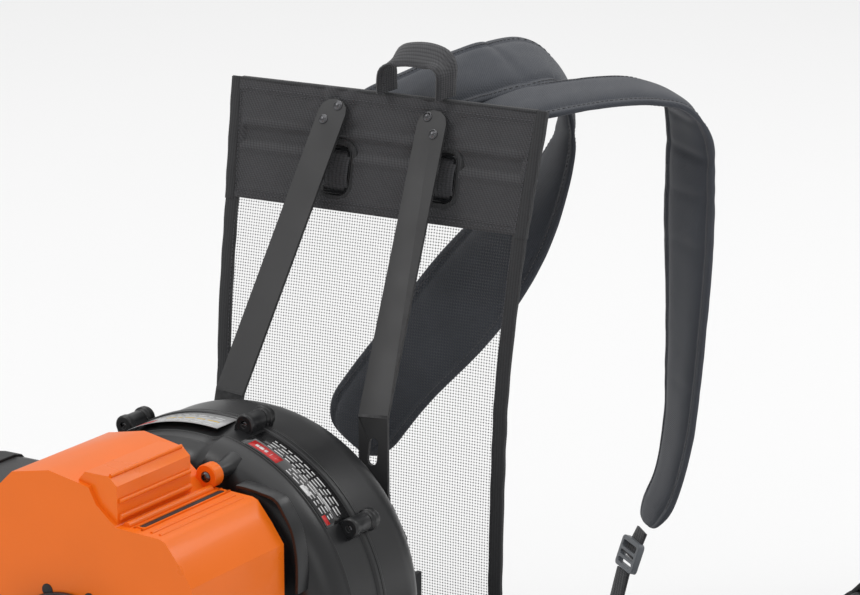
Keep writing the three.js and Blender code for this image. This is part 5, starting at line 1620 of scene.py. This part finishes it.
class BLOWER_OT_air_path(bpy.types.Operator):
    """Makes the elbow, the bellows hose, the clamps, the tube and the nozzle"""
    bl_idname = "blower.air_path"
    bl_label = "Air path"

    def execute(self, context):
        build_air_path()
        return {"FINISHED"}


class BLOWER_OT_handle(bpy.types.Operator):
    """Makes the control handle, its levers and the throttle cable"""
    bl_idname = "blower.handle"
    bl_label = "Control handle"

    def execute(self, context):
        build_handle()
        build_cables()
        return {"FINISHED"}


class BLOWER_OT_starter(bpy.types.Operator):
    """Makes the recoil starter, its handle and its rope"""
    bl_idname = "blower.starter"
    bl_label = "Recoil starter"

    def execute(self, context):
        build_starter()
        return {"FINISHED"}


class BLOWER_OT_tank(bpy.types.Operator):
    """Makes the fuel tank and its cap"""
    bl_idname = "blower.tank"
    bl_label = "Fuel tank"

    def execute(self, context):
        build_tank()
        return {"FINISHED"}


class BLOWER_OT_filter(bpy.types.Operator):
    """Makes the air filter box, its screw, the choke lever and the primer"""
    bl_idname = "blower.filter"
    bl_label = "Air filter"

    def execute(self, context):
        build_filter()
        return {"FINISHED"}


class BLOWER_OT_base(bpy.types.Operator):
    """Makes the base, the back plate, the hoop and the rubber mounts"""
    bl_idname = "blower.base"
    bl_label = "Base and frame"

    def execute(self, context):
        build_base()
        return {"FINISHED"}


class BLOWER_OT_engine(bpy.types.Operator):
    """Finishes the parts of the engine and the fan wheel"""
    bl_idname = "blower.engine"
    bl_label = "Engine"

    def execute(self, context):
        build_engine()
        return {"FINISHED"}


BUILDERS = (BLOWER_OT_stage, BLOWER_OT_fan, BLOWER_OT_cover, BLOWER_OT_back, BLOWER_OT_harness,
            BLOWER_OT_air_path, BLOWER_OT_handle, BLOWER_OT_starter, BLOWER_OT_tank,
            BLOWER_OT_filter, BLOWER_OT_base, BLOWER_OT_engine)


class BLOWER_PT_pieces(bpy.types.Panel):
    """Lists the pieces and the settings"""
    bl_idname = "BLOWER_PT_pieces"
    bl_label = "Backpack blower"
    bl_space_type = "VIEW_3D"
    bl_region_type = "UI"
    bl_category = "Blower"

    def draw(self, context):
        for settings in (context.scene.blower_sizes, context.scene.blower_colours):
            for key in settings.__annotations__:
                self.layout.prop(settings, key)
        for builder in BUILDERS:
            self.layout.operator(builder.bl_idname)


CLASSES = (BlowerSizes, BlowerColours, *BUILDERS, BLOWER_PT_pieces)


def register():
    for cls in CLASSES:
        bpy.utils.register_class(cls)
    bpy.types.Scene.blower_sizes = PointerProperty(type=BlowerSizes)
    bpy.types.Scene.blower_colours = PointerProperty(type=BlowerColours)


def unregister():
    del bpy.types.Scene.blower_colours
    del bpy.types.Scene.blower_sizes
    for cls in reversed(CLASSES):
        bpy.utils.unregister_class(cls)


def main():
    register()
    bpy.ops.blower.stage()
    bpy.ops.blower.fan()
    bpy.ops.blower.cover()
    bpy.ops.blower.back()
    bpy.ops.blower.harness()
    bpy.ops.blower.air_path()
    bpy.ops.blower.handle()
    bpy.ops.blower.starter()
    bpy.ops.blower.tank()
    bpy.ops.blower.filter()
    bpy.ops.blower.base()
    bpy.ops.blower.engine()


if __name__ == "__main__":
    main()
